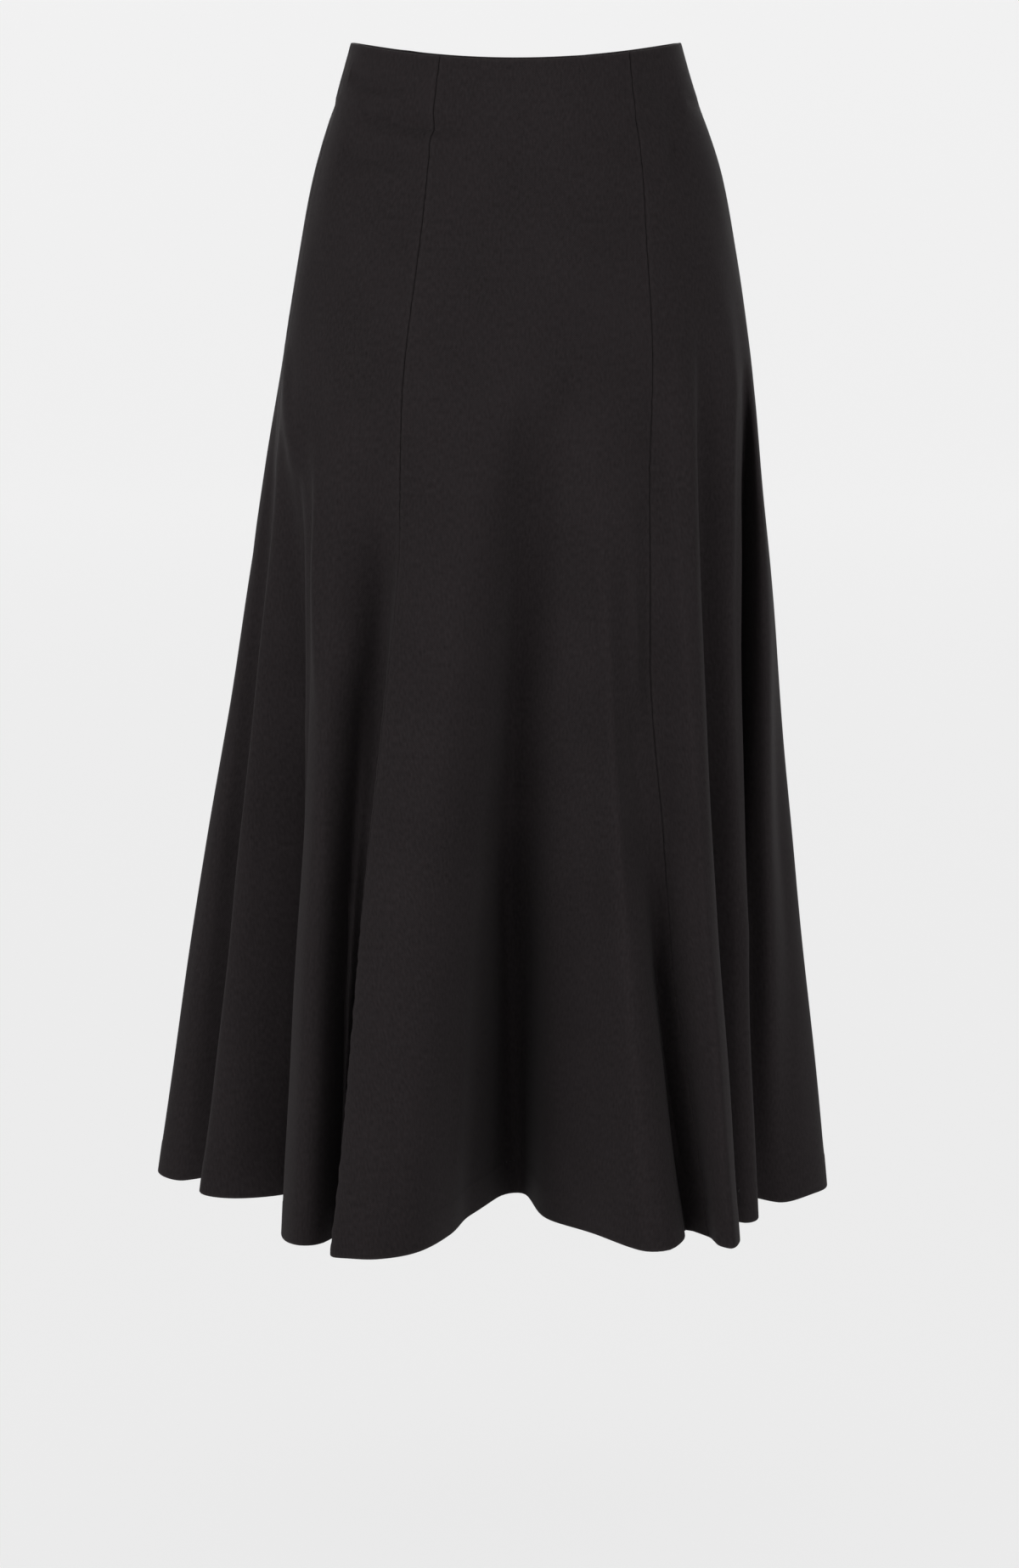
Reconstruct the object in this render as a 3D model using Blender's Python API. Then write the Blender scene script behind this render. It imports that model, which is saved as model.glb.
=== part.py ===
"""Twirl skirt: a flared midi skirt of six gores, in its worn hollow form, with its falling folds.

Metres, +Z up. The origin is the middle of the waist opening, level with its top edge. The skirt's
back faces -Y and its own right side faces +X. A turn is an angle about the upright axis in degrees,
0 at the middle of the back and growing towards +X.

Down to the hips the cloth follows plain oval sections. Below them fold lines leave the ovals and run
nearly straight to the hem, as they do in cloth that hangs, and one smooth surface passes through
them all. Six gores are cut from that surface along the seams. Each is a wall of one layer of cloth,
two layers where the waist edge is turned in and the hem is turned up.
"""

from typing import NamedTuple

import bpy
import numpy as np

CLOTH = 0.0014
TURNED_CLOTH = 0.0026
SEAM_GAP = 0.0003
WAIST_TURNING = 0.040
HEM_TURNING = 0.024
TURNING_STEP = 0.004

HEM_Z = -0.832
TOP_SIDE_RISE = 0.006
TOP_BACK_DIP = 0.004
TOP_FRONT_DIP = 0.006
ONSET_SOFTNESS = 0.10

BODY_ROWS = 13
LANES_PER_FOLD_LINE = 3.1
SEARCH_STEPS = 3600

BLACK_CLOTH = (0.012, 0.0115, 0.011, 1.0)
CLOTH_ROUGHNESS = 0.85


class Section(NamedTuple):
    """One oval section of the skirt before its folds, with its own depth behind and in front."""

    z: float
    half_width: float
    back_depth: float
    front_depth: float
    centre_x: float


class FoldLine(NamedTuple):
    """One line down the cloth: its turn on the ovals, where it meets the hem, and where it starts.

    hem_rise is the height above the hem's lowest level.
    """

    name: str
    turn: float
    hem_x: float
    hem_y: float
    hem_rise: float
    start_z: float


class Seam(NamedTuple):
    """The turn of one seam at each of the levels in SEAM_LEVELS."""

    name: str
    waist: float
    high_hip: float
    hip: float
    thigh: float
    hem: float


SECTIONS = (
    Section(z=0.010, half_width=0.1160, back_depth=0.088, front_depth=0.086, centre_x=0.001),
    Section(z=-0.020, half_width=0.1245, back_depth=0.094, front_depth=0.090, centre_x=0.001),
    Section(z=-0.085, half_width=0.1450, back_depth=0.110, front_depth=0.100, centre_x=0.003),
    Section(z=-0.145, half_width=0.1565, back_depth=0.121, front_depth=0.107, centre_x=0.003),
    Section(z=-0.205, half_width=0.1660, back_depth=0.127, front_depth=0.112, centre_x=0.002),
    Section(z=-0.330, half_width=0.1770, back_depth=0.135, front_depth=0.119, centre_x=-0.003),
    Section(z=-0.515, half_width=0.1880, back_depth=0.146, front_depth=0.132, centre_x=-0.010),
    Section(z=-0.840, half_width=0.2060, back_depth=0.165, front_depth=0.155, centre_x=-0.019),
)

# Ridges are lettered round from the left side, over the back, and on round the front
FOLD_LINES = (
    FoldLine("ridge_a_crest", -99, -0.262, 0.030, 0.012, -0.20),
    FoldLine("ridge_a_face", -91, -0.245, -0.002, 0.011, -0.20),
    FoldLine("valley_a_b_far", -85.5, -0.205, -0.006, 0.018, -0.22),
    FoldLine("valley_a_b_near", -81.5, -0.200, -0.018, 0.018, -0.22),
    FoldLine("ridge_b_edge", -75.5, -0.227, -0.045, 0.012, -0.21),
    FoldLine("ridge_b_face", -70, -0.210, -0.074, 0.012, -0.24),
    FoldLine("ridge_b_right", -64, -0.187, -0.080, 0.013, -0.26),
    FoldLine("valley_b_c_left", -58, -0.158, -0.074, 0.015, -0.22),
    FoldLine("valley_b_c_right", -54, -0.152, -0.088, 0.015, -0.22),
    FoldLine("ridge_c_edge", -48.5, -0.166, -0.145, 0.002, -0.20),
    FoldLine("ridge_c_crest", -44, -0.153, -0.182, 0.003, -0.22),
    FoldLine("ridge_c_right", -39, -0.135, -0.180, 0.003, -0.28),
    FoldLine("valley_c_d_left", -32.5, -0.111, -0.136, 0.007, -0.28),
    FoldLine("valley_c_d_right", -29.5, -0.102, -0.145, 0.007, -0.28),
    FoldLine("ridge_d_edge", -24, -0.130, -0.205, 0.001, -0.30),
    FoldLine("ridge_d_left", -19.5, -0.115, -0.224, 0.003, -0.28),
    FoldLine("ridge_d_crest", -15, -0.095, -0.227, 0.003, -0.28),
    FoldLine("ridge_d_right", -10, -0.069, -0.213, 0.004, -0.26),
    FoldLine("ridge_d_flank", -5.5, -0.044, -0.165, 0.007, -0.24),
    FoldLine("ridge_d_inner", -1, -0.030, -0.115, 0.010, -0.22),
    FoldLine("valley_d_e_left", 3, -0.010, -0.083, 0.014, -0.20),
    FoldLine("valley_d_e_right", 6.5, 0.005, -0.087, 0.014, -0.20),
    FoldLine("ridge_e_inner", 12, 0.023, -0.125, 0.010, -0.24),
    FoldLine("ridge_e_left", 18, 0.056, -0.172, 0.009, -0.28),
    FoldLine("ridge_e_crest", 22, 0.091, -0.214, 0.006, -0.30),
    FoldLine("ridge_e_right", 25.5, 0.107, -0.210, 0.006, -0.40),
    FoldLine("valley_e_f", 29, 0.126, -0.170, 0.009, -0.46),
    FoldLine("ridge_f_edge", 32, 0.137, -0.178, 0.008, -0.42),
    FoldLine("ridge_f_left", 35.5, 0.143, -0.198, 0.006, -0.28),
    FoldLine("ridge_f_crest", 38.5, 0.151, -0.206, 0.006, -0.20),
    FoldLine("ridge_f_right", 42, 0.159, -0.196, 0.006, -0.17),
    FoldLine("valley_f_g", 51, 0.151, -0.146, 0.010, -0.17),
    FoldLine("ridge_g_crest", 61, 0.165, -0.136, 0.008, -0.17),
    FoldLine("ridge_g_edge", 66.5, 0.174, -0.119, 0.008, -0.17),
    FoldLine("valley_g_h", 74.5, 0.163, -0.074, 0.015, -0.16),
    FoldLine("ridge_h_left", 82, 0.193, -0.068, 0.009, -0.18),
    FoldLine("ridge_h_crest", 89, 0.216, -0.045, 0.010, -0.20),
    FoldLine("ridge_h_edge", 97, 0.228, -0.005, 0.010, -0.22),
    FoldLine("valley_h_i", 107, 0.192, 0.040, 0.020, -0.24),
    FoldLine("ridge_i_left", 116, 0.213, 0.088, 0.016, -0.26),
    FoldLine("ridge_i_crest", 122, 0.204, 0.124, 0.014, -0.26),
    FoldLine("valley_i_j_left", 131, 0.150, 0.104, 0.016, -0.24),
    FoldLine("valley_i_j_right", 134, 0.139, 0.112, 0.016, -0.24),
    FoldLine("ridge_j_left", 142, 0.133, 0.185, 0.007, -0.26),
    FoldLine("ridge_j_crest", 148, 0.108, 0.209, 0.005, -0.28),
    FoldLine("valley_j_k", 159, 0.060, 0.138, 0.012, -0.26),
    FoldLine("ridge_k_left", 169, 0.030, 0.203, 0.006, -0.28),
    FoldLine("ridge_k_crest", 176, 0.002, 0.212, 0.004, -0.28),
    FoldLine("valley_k_l", 187, -0.030, 0.130, 0.012, -0.24),
    FoldLine("ridge_l_left", 196, -0.066, 0.193, 0.006, -0.26),
    FoldLine("ridge_l_crest", 204, -0.098, 0.203, 0.005, -0.28),
    FoldLine("valley_l_m", 217, -0.131, 0.114, 0.014, -0.24),
    FoldLine("ridge_m_left", 228, -0.184, 0.148, 0.010, -0.24),
    FoldLine("ridge_m_crest", 236, -0.208, 0.128, 0.012, -0.26),
    FoldLine("valley_m_a", 249, -0.198, 0.072, 0.018, -0.24),
)

SEAM_LEVELS = (0.0, 0.12, 0.25, 0.50, 1.0)
SEAMS = (
    Seam("side_left", waist=-82, high_hip=-82, hip=-82, thigh=-82, hem=-82),
    Seam("back_left", waist=-26.5, high_hip=-26.5, hip=-28, thigh=-25, hem=-24),
    Seam("back_right", waist=42, high_hip=36, hip=34.5, thigh=32.5, hem=32),
    Seam("side_right", waist=98, high_hip=99, hip=101, thigh=105, hem=109),
    Seam("front_right", waist=156, high_hip=156, hip=156, thigh=156, hem=157),
    Seam("front_left", waist=220, high_hip=219, hip=218, thigh=216, hem=213),
)

GORES = {
    "gore_side_back_left": ("side_left", "back_left"),
    "gore_centre_back": ("back_left", "back_right"),
    "gore_side_back_right": ("back_right", "side_right"),
    "gore_side_front_right": ("side_right", "front_right"),
    "gore_centre_front": ("front_right", "front_left"),
    "gore_side_front_left": ("front_left", "side_left"),
}


def smooth_through(x, knots, values):
    """Read a smooth curve through (knots, values) at x; each slope is that of its three knots' parabola."""
    spans = np.diff(knots)
    rises = np.diff(values, axis=0) / spans[:, None]
    slopes = np.empty(values.shape)
    slopes[1:-1] = rises[:-1] * spans[1:, None] + rises[1:] * spans[:-1, None]
    slopes[1:-1] /= (spans[:-1] + spans[1:])[:, None]
    slopes[0] = rises[0]
    slopes[-1] = rises[-1]
    i = np.clip(np.searchsorted(knots, x, side="right") - 1, 0, len(spans) - 1)
    s = ((x - knots[i]) / spans[i])[:, None]
    span = spans[i][:, None]
    before = (1 - s) ** 2 * ((1 + 2 * s) * values[i] + s * span * slopes[i])
    after = s ** 2 * ((3 - 2 * s) * values[i + 1] - (1 - s) * span * slopes[i + 1])
    return before + after


def closed(knots, values, knot_period, value_period=0.0):
    """Repeat one round of a closed curve's knots by two each way, so that it is smooth all round."""
    wide_knots = np.concatenate([knots[-2:] - knot_period, knots, knots[:2] + knot_period])
    wide_values = np.concatenate([values[-2:] - value_period, values, values[:2] + value_period])
    return wide_knots, wide_values


def wrapped(x, first, period):
    """Bring x into one round that starts at first."""
    return (x - first) % period + first


def oval_points(z, turns):
    """Points (x, y) on the plain ovals at heights z and turns."""
    table = np.array(SECTIONS)[::-1]
    half_width, back, front, centre_x = smooth_through(z, table[:, 0], table[:, 1:]).T
    angle = np.radians(turns)
    depth = np.where(np.cos(angle) > 0, back, front)
    return np.column_stack([centre_x + half_width * np.sin(angle), -depth * np.cos(angle)])


class FoldedCloth:
    """The skirt's outer surface, as points by level (0 at the waist, 1 at the hem) and turn."""

    def __init__(self):
        table = np.array([line[1:] for line in FOLD_LINES])
        self.turns = table[:, 0]
        self.hem_z = HEM_Z + table[:, 3]
        self.start_z = table[:, 4]
        hem_xy = table[:, 1:3]
        self.shift = hem_xy - oval_points(self.hem_z, self.turns)
        steps = np.sqrt(np.linalg.norm(np.roll(hem_xy, -1, axis=0) - hem_xy, axis=1))
        self.lanes = np.concatenate([[0.0], np.cumsum(steps)[:-1]])
        self.lanes_round = steps.sum()
        self.search_turns = self.turns[0] + np.linspace(0.0, 360.0, SEARCH_STEPS + 1)
        self.search_lanes = self.lane_at(self.search_turns[:-1])
        self.search_lanes = np.append(self.search_lanes, self.lanes_round)

    def lane_at(self, turns):
        """Lane of each turn: a measure round the skirt that is spread out where folds crowd."""
        knots, lanes = closed(self.turns, self.lanes, 360.0, self.lanes_round)
        return smooth_through(wrapped(turns, self.turns[0], 360.0), knots, lanes[:, None])[:, 0]

    def turn_at(self, lanes):
        """Turn of each lane, counted on past a full round."""
        rounds, rest = np.divmod(lanes, self.lanes_round)
        return np.interp(rest, self.search_lanes, self.search_turns) + 360.0 * rounds

    def round_skirt(self, lanes, values):
        """Read the fold lines' values at the given lanes, smoothly all round."""
        knots, rows = closed(self.lanes, values, self.lanes_round)
        return smooth_through(lanes, knots, rows)

    def points(self, level, turns):
        """Outer points of the cloth at one level."""
        lanes = self.lane_at(turns)
        angle = np.radians(turns)
        dip = np.where(np.cos(angle) > 0, TOP_BACK_DIP, TOP_FRONT_DIP)
        top_z = TOP_SIDE_RISE - (TOP_SIDE_RISE + dip) * np.cos(angle) ** 2
        hem_z = self.round_skirt(lanes, self.hem_z[:, None])[:, 0]
        z = top_z + (hem_z - top_z) * level
        fallen = (self.start_z - self.hem_z * level) / (self.start_z - self.hem_z)
        fallen = np.clip(fallen, 0.0, 1.0)
        share = fallen ** 2 * (1 + ONSET_SOFTNESS) / (fallen + ONSET_SOFTNESS)
        xy = oval_points(z, turns) + self.round_skirt(lanes, self.shift * share[:, None])
        return np.column_stack([xy, z])

    def frame(self, level, turns):
        """Points, unit tangents round the skirt and unit outward normals at one level."""
        small_turn = 0.05
        small_level = 0.001
        points = self.points(level, turns)
        around = self.points(level, turns + small_turn) - self.points(level, turns - small_turn)
        down = self.points(level + small_level, turns) - self.points(level - small_level, turns)
        around /= np.linalg.norm(around, axis=1, keepdims=True)
        normals = np.cross(down, around)
        normals /= np.linalg.norm(normals, axis=1, keepdims=True)
        return points, around, normals


def seam_turn(name, level):
    """Turn of a seam at one level."""
    seam = next(seam for seam in SEAMS if seam.name == name)
    turns = np.array(seam[1:])[:, None]
    return smooth_through(np.array([level]), np.array(SEAM_LEVELS), turns)[0, 0]


def wall_rows():
    """Levels of a gore's rows and the wall's thickness at each, with both edges turned in."""
    waist_end = WAIST_TURNING / -HEM_Z
    hem_start = 1 - HEM_TURNING / -HEM_Z
    step = TURNING_STEP / -HEM_Z
    body = np.linspace(waist_end + step, hem_start - step, BODY_ROWS)
    levels = np.concatenate([[0.0, waist_end / 2, waist_end], body, [hem_start, 1.0]])
    turned = (levels <= waist_end) | (levels >= hem_start)
    return levels, np.where(turned, TURNED_CLOTH, CLOTH)


def gore_points(cloth, left, right):
    """Outer and inner points of one gore as grids, a row for each level, between two seams."""
    levels, thicknesses = wall_rows()
    hem_left = seam_turn(left, 1.0)
    hem_right = seam_turn(right, 1.0)
    if hem_right < hem_left:
        hem_right += 360.0
    lane_left, lane_right = cloth.lane_at(np.array([hem_left, hem_right]))
    if lane_right < lane_left:
        lane_right += cloth.lanes_round
    lane_step = cloth.lanes_round / (len(FOLD_LINES) * LANES_PER_FOLD_LINE)
    columns = round((lane_right - lane_left) / lane_step)
    hem_turns = cloth.turn_at(np.linspace(lane_left, lane_right, columns + 1))
    shares = (hem_turns - hem_turns[0]) / (hem_turns[-1] - hem_turns[0])
    outer = []
    inner = []
    for level, thickness in zip(levels, thicknesses):
        start = seam_turn(left, level)
        end = seam_turn(right, level)
        if end < start:
            end += 360.0
        points, around, normals = cloth.frame(level, start + (end - start) * shares)
        points[0] += around[0] * SEAM_GAP / 2
        points[-1] -= around[-1] * SEAM_GAP / 2
        outer.append(points)
        inner.append(points - normals * thickness)
    return np.array(outer), np.array(inner)


def wall_mesh(name, outer, inner):
    """One closed wall between two equal grids of points."""
    rows, columns = outer.shape[:2]
    sheet = rows * columns
    faces = []
    for row in range(rows - 1):
        for column in range(columns - 1):
            a = row * columns + column
            b = a + columns
            faces.append((a, b, b + 1, a + 1))
            faces.append((sheet + a, sheet + a + 1, sheet + b + 1, sheet + b))
    for row in range(rows - 1):
        left = row * columns
        right = left + columns - 1
        faces.append((left, sheet + left, sheet + left + columns, left + columns))
        faces.append((right, right + columns, sheet + right + columns, sheet + right))
    for column in range(columns - 1):
        top = column
        hem = (rows - 1) * columns + column
        faces.append((top, top + 1, sheet + top + 1, sheet + top))
        faces.append((hem, sheet + hem, sheet + hem + 1, hem + 1))
    points = np.concatenate([outer.reshape(-1, 3), inner.reshape(-1, 3)])
    mesh = bpy.data.meshes.new(name)
    mesh.from_pydata(points.tolist(), [], faces)
    mesh.shade_smooth()
    mesh.set_sharp_from_angle(angle=np.radians(40.0))
    return mesh


def cloth_material(name):
    """Matte black cloth."""
    material = bpy.data.materials.new(name)
    material.use_nodes = True
    shader = material.node_tree.nodes["Principled BSDF"]
    shader.inputs["Base Color"].default_value = BLACK_CLOTH
    shader.inputs["Roughness"].default_value = CLOTH_ROUGHNESS
    shader.inputs["Metallic"].default_value = 0.0
    return material


def clear_scene():
    """Remove every object of the scene."""
    for obj in list(bpy.data.objects):
        bpy.data.objects.remove(obj, do_unlink=True)


def build_skirt():
    """Build the six gores under one empty at the middle of the waist opening."""
    cloth = FoldedCloth()
    waist = bpy.data.objects.new("waist_opening", None)
    bpy.context.collection.objects.link(waist)
    for name, (left, right) in GORES.items():
        outer, inner = gore_points(cloth, left, right)
        gore = bpy.data.objects.new(name, wall_mesh(name, outer, inner))
        gore.data.materials.append(cloth_material(name + "_cloth"))
        gore.parent = waist
        bpy.context.collection.objects.link(gore)


def main():
    """Clear the scene and build the skirt."""
    clear_scene()
    build_skirt()


if __name__ == "__main__":
    main()
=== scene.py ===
"""Looks of the twirl skirt: six gores of matte black twill in their worn, hollow form.

Metres, +Z up. The origin is the middle of the waist opening, level with its top edge. The skirt's
back faces -Y and its own right side faces +X. A turn is an angle about the upright axis in degrees,
0 at the middle of the back and growing towards +X. A drop is a distance down the cloth from the
waist edge, and a level is that distance as a share of the way to the hem.

Each gore is a thin closed panel on the form of its solid, with rolled seam edges, small creases, a
turned-in waist edge and a turned-up hem. Inside it has its pressed-open seam allowances and its
overlock and catch stitches.
"""

import logging
import math
from dataclasses import asdict, dataclass, field
from enum import Enum

import bpy
import numpy as np
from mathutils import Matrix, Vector

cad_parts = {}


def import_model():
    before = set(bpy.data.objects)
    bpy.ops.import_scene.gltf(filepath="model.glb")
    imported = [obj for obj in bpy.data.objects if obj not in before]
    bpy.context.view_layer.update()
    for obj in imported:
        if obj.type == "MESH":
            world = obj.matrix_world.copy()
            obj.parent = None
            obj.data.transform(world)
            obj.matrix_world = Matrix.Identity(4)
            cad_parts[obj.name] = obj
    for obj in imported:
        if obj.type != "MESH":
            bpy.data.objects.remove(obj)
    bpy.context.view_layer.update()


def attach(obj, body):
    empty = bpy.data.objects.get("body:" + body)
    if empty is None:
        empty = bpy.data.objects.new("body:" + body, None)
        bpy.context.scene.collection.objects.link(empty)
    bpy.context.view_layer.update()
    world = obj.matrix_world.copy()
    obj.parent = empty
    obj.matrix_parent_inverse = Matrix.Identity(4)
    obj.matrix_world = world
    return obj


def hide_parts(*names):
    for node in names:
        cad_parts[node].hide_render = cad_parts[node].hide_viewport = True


LOG = logging.getLogger("twirl_skirt")
ROOT_BODY = "root"
CLOTH_UV = "cloth"
WEAR = "wear"

Colour = tuple[float, float, float]
Place = tuple[float, float, float]
Socket = bpy.types.NodeSocket
Value = Socket | float | str | tuple[float, ...]

HEM_Z = -0.832
CLOTH_LENGTH = 0.838
TOP_SIDE_RISE = 0.006
TOP_BACK_DIP = 0.004
TOP_FRONT_DIP = 0.006
ONSET_SOFTNESS = 0.10
FULL_TURN = 360.0
RIGHT_ANGLE = 90.0


@dataclass(frozen=True)
class Section:
    """One oval section of the skirt before its folds, with its own depth behind and in front."""

    z: float
    half_width: float
    back_depth: float
    front_depth: float
    centre_x: float


@dataclass(frozen=True)
class FoldLine:
    """One line down the cloth: its turn on the ovals, where it meets the hem, and where it starts.

    hem_rise is the height above the hem's lowest level.
    """

    name: str
    turn: float
    hem_x: float
    hem_y: float
    hem_rise: float
    start_z: float


@dataclass(frozen=True)
class SeamLine:
    """The turn of one seam at each of the levels in SEAM_LEVELS."""

    name: str
    waist: float
    high_hip: float
    hip: float
    thigh: float
    hem: float


@dataclass(frozen=True)
class GoreCut:
    """One gore of the pattern: the CAD node it dresses and the seams on its two sides."""

    name: str
    left: SeamLine
    right: SeamLine

    @property
    def node(self) -> str:
        """Name of the CAD node that holds this gore's solid."""
        return f"gore_{self.name}"


@dataclass(frozen=True)
class Crease:
    """One soft crease between two spots on the cloth. A negative rise is a trough.

    width is half the crease's width, and bow is how far its middle lies off the straight line. lean
    makes a crease that runs down the cloth gentler on the side of growing turns, or steeper if negative.
    The cloth moves along its own normal, or towards the heading, a turn, if one is given.
    """

    name: str
    start_turn: float
    start_z: float
    end_turn: float
    end_z: float
    width: float
    rise: float
    bow: float = 0.0
    lean: float = 0.0
    heading: float | None = None

    def way(self, normals: np.ndarray) -> np.ndarray:
        """Directions in which the crease lifts the cloth."""
        if self.heading is None:
            return normals
        angle = math.radians(self.heading)
        return np.broadcast_to((math.sin(angle), -math.cos(angle), 0.0), normals.shape)


@dataclass(frozen=True)
class Undulation:
    """One broad, shallow wave of the cloth, whole numbers of which go round the skirt."""

    waves_round: int
    waves_per_metre: float
    phase: float
    rise: float


SECTIONS = (
    Section(z=0.010, half_width=0.1160, back_depth=0.088, front_depth=0.086, centre_x=0.001),
    Section(z=-0.020, half_width=0.1245, back_depth=0.094, front_depth=0.090, centre_x=0.001),
    Section(z=-0.085, half_width=0.1450, back_depth=0.110, front_depth=0.100, centre_x=0.003),
    Section(z=-0.145, half_width=0.1565, back_depth=0.121, front_depth=0.107, centre_x=0.003),
    Section(z=-0.205, half_width=0.1660, back_depth=0.127, front_depth=0.112, centre_x=0.002),
    Section(z=-0.330, half_width=0.1770, back_depth=0.135, front_depth=0.119, centre_x=-0.003),
    Section(z=-0.515, half_width=0.1880, back_depth=0.146, front_depth=0.132, centre_x=-0.010),
    Section(z=-0.840, half_width=0.2060, back_depth=0.165, front_depth=0.155, centre_x=-0.019),
)

# Ridges are lettered round from the left side, over the back, and on round the front
FOLD_LINES = tuple(FoldLine(*row) for row in (
    # name, turn, hem_x, hem_y, hem_rise, start_z
    ("ridge_a_crest", -99, -0.262, 0.030, 0.012, -0.20),
    ("ridge_a_face", -91, -0.245, -0.002, 0.011, -0.20),
    ("valley_a_b_far", -85.5, -0.205, -0.006, 0.018, -0.22),
    ("valley_a_b_near", -81.5, -0.200, -0.018, 0.018, -0.22),
    ("ridge_b_edge", -75.5, -0.227, -0.045, 0.012, -0.21),
    ("ridge_b_face", -70, -0.210, -0.074, 0.012, -0.24),
    ("ridge_b_right", -64, -0.187, -0.080, 0.013, -0.26),
    ("valley_b_c_left", -58, -0.158, -0.074, 0.015, -0.22),
    ("valley_b_c_right", -54, -0.152, -0.088, 0.015, -0.22),
    ("ridge_c_edge", -48.5, -0.166, -0.145, 0.002, -0.20),
    ("ridge_c_crest", -44, -0.153, -0.182, 0.003, -0.22),
    ("ridge_c_right", -39, -0.135, -0.180, 0.003, -0.28),
    ("valley_c_d_left", -32.5, -0.111, -0.136, 0.007, -0.28),
    ("valley_c_d_right", -29.5, -0.102, -0.145, 0.007, -0.28),
    ("ridge_d_edge", -24, -0.130, -0.205, 0.001, -0.30),
    ("ridge_d_left", -19.5, -0.115, -0.224, 0.003, -0.28),
    ("ridge_d_crest", -15, -0.095, -0.227, 0.003, -0.28),
    ("ridge_d_right", -10, -0.069, -0.213, 0.004, -0.26),
    ("ridge_d_flank", -5.5, -0.044, -0.165, 0.007, -0.24),
    ("ridge_d_inner", -1, -0.030, -0.115, 0.010, -0.22),
    ("valley_d_e_left", 3, -0.010, -0.083, 0.014, -0.20),
    ("valley_d_e_right", 6.5, 0.005, -0.087, 0.014, -0.20),
    ("ridge_e_inner", 12, 0.023, -0.125, 0.010, -0.24),
    ("ridge_e_left", 18, 0.056, -0.172, 0.009, -0.28),
    ("ridge_e_crest", 22, 0.091, -0.214, 0.006, -0.30),
    ("ridge_e_right", 25.5, 0.107, -0.210, 0.006, -0.40),
    ("valley_e_f", 29, 0.126, -0.170, 0.009, -0.46),
    ("ridge_f_edge", 32, 0.137, -0.178, 0.008, -0.42),
    ("ridge_f_left", 35.5, 0.143, -0.198, 0.006, -0.28),
    ("ridge_f_crest", 38.5, 0.151, -0.206, 0.006, -0.20),
    ("ridge_f_right", 42, 0.159, -0.196, 0.006, -0.17),
    ("valley_f_g", 51, 0.151, -0.146, 0.010, -0.17),
    ("ridge_g_crest", 61, 0.165, -0.136, 0.008, -0.17),
    ("ridge_g_edge", 66.5, 0.174, -0.119, 0.008, -0.17),
    ("valley_g_h", 74.5, 0.163, -0.074, 0.015, -0.16),
    ("ridge_h_left", 82, 0.193, -0.068, 0.009, -0.18),
    ("ridge_h_crest", 89, 0.216, -0.045, 0.010, -0.20),
    ("ridge_h_edge", 97, 0.228, -0.005, 0.010, -0.22),
    ("valley_h_i", 107, 0.192, 0.040, 0.020, -0.24),
    ("ridge_i_left", 116, 0.213, 0.088, 0.016, -0.26),
    ("ridge_i_crest", 122, 0.204, 0.124, 0.014, -0.26),
    ("valley_i_j_left", 131, 0.150, 0.104, 0.016, -0.24),
    ("valley_i_j_right", 134, 0.139, 0.112, 0.016, -0.24),
    ("ridge_j_left", 142, 0.133, 0.185, 0.007, -0.26),
    ("ridge_j_crest", 148, 0.108, 0.209, 0.005, -0.28),
    ("valley_j_k", 159, 0.060, 0.138, 0.012, -0.26),
    ("ridge_k_left", 169, 0.030, 0.203, 0.006, -0.28),
    ("ridge_k_crest", 176, 0.002, 0.212, 0.004, -0.28),
    ("valley_k_l", 187, -0.030, 0.130, 0.012, -0.24),
    ("ridge_l_left", 196, -0.066, 0.193, 0.006, -0.26),
    ("ridge_l_crest", 204, -0.098, 0.203, 0.005, -0.28),
    ("valley_l_m", 217, -0.131, 0.114, 0.014, -0.24),
    ("ridge_m_left", 228, -0.184, 0.148, 0.010, -0.24),
    ("ridge_m_crest", 236, -0.208, 0.128, 0.012, -0.26),
    ("valley_m_a", 249, -0.198, 0.072, 0.018, -0.24),
))

SEAM_LEVELS = (0.0, 0.12, 0.25, 0.50, 1.0)
SIDE_LEFT = SeamLine("side_left", waist=-82, high_hip=-82, hip=-82, thigh=-82, hem=-82)
BACK_LEFT = SeamLine("back_left", waist=-26.5, high_hip=-26.5, hip=-28, thigh=-25, hem=-24)
BACK_RIGHT = SeamLine("back_right", waist=42, high_hip=36, hip=34.5, thigh=32.5, hem=32)
SIDE_RIGHT = SeamLine("side_right", waist=98, high_hip=99, hip=101, thigh=105, hem=109)
FRONT_RIGHT = SeamLine("front_right", waist=156, high_hip=156, hip=156, thigh=156, hem=157)
FRONT_LEFT = SeamLine("front_left", waist=220, high_hip=219, hip=218, thigh=216, hem=213)

GORES = (
    GoreCut("side_back_left", SIDE_LEFT, BACK_LEFT),
    GoreCut("centre_back", BACK_LEFT, BACK_RIGHT),
    GoreCut("side_back_right", BACK_RIGHT, SIDE_RIGHT),
    GoreCut("side_front_right", SIDE_RIGHT, FRONT_RIGHT),
    GoreCut("centre_front", FRONT_RIGHT, FRONT_LEFT),
    GoreCut("side_front_left", FRONT_LEFT, SIDE_LEFT),
)

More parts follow.
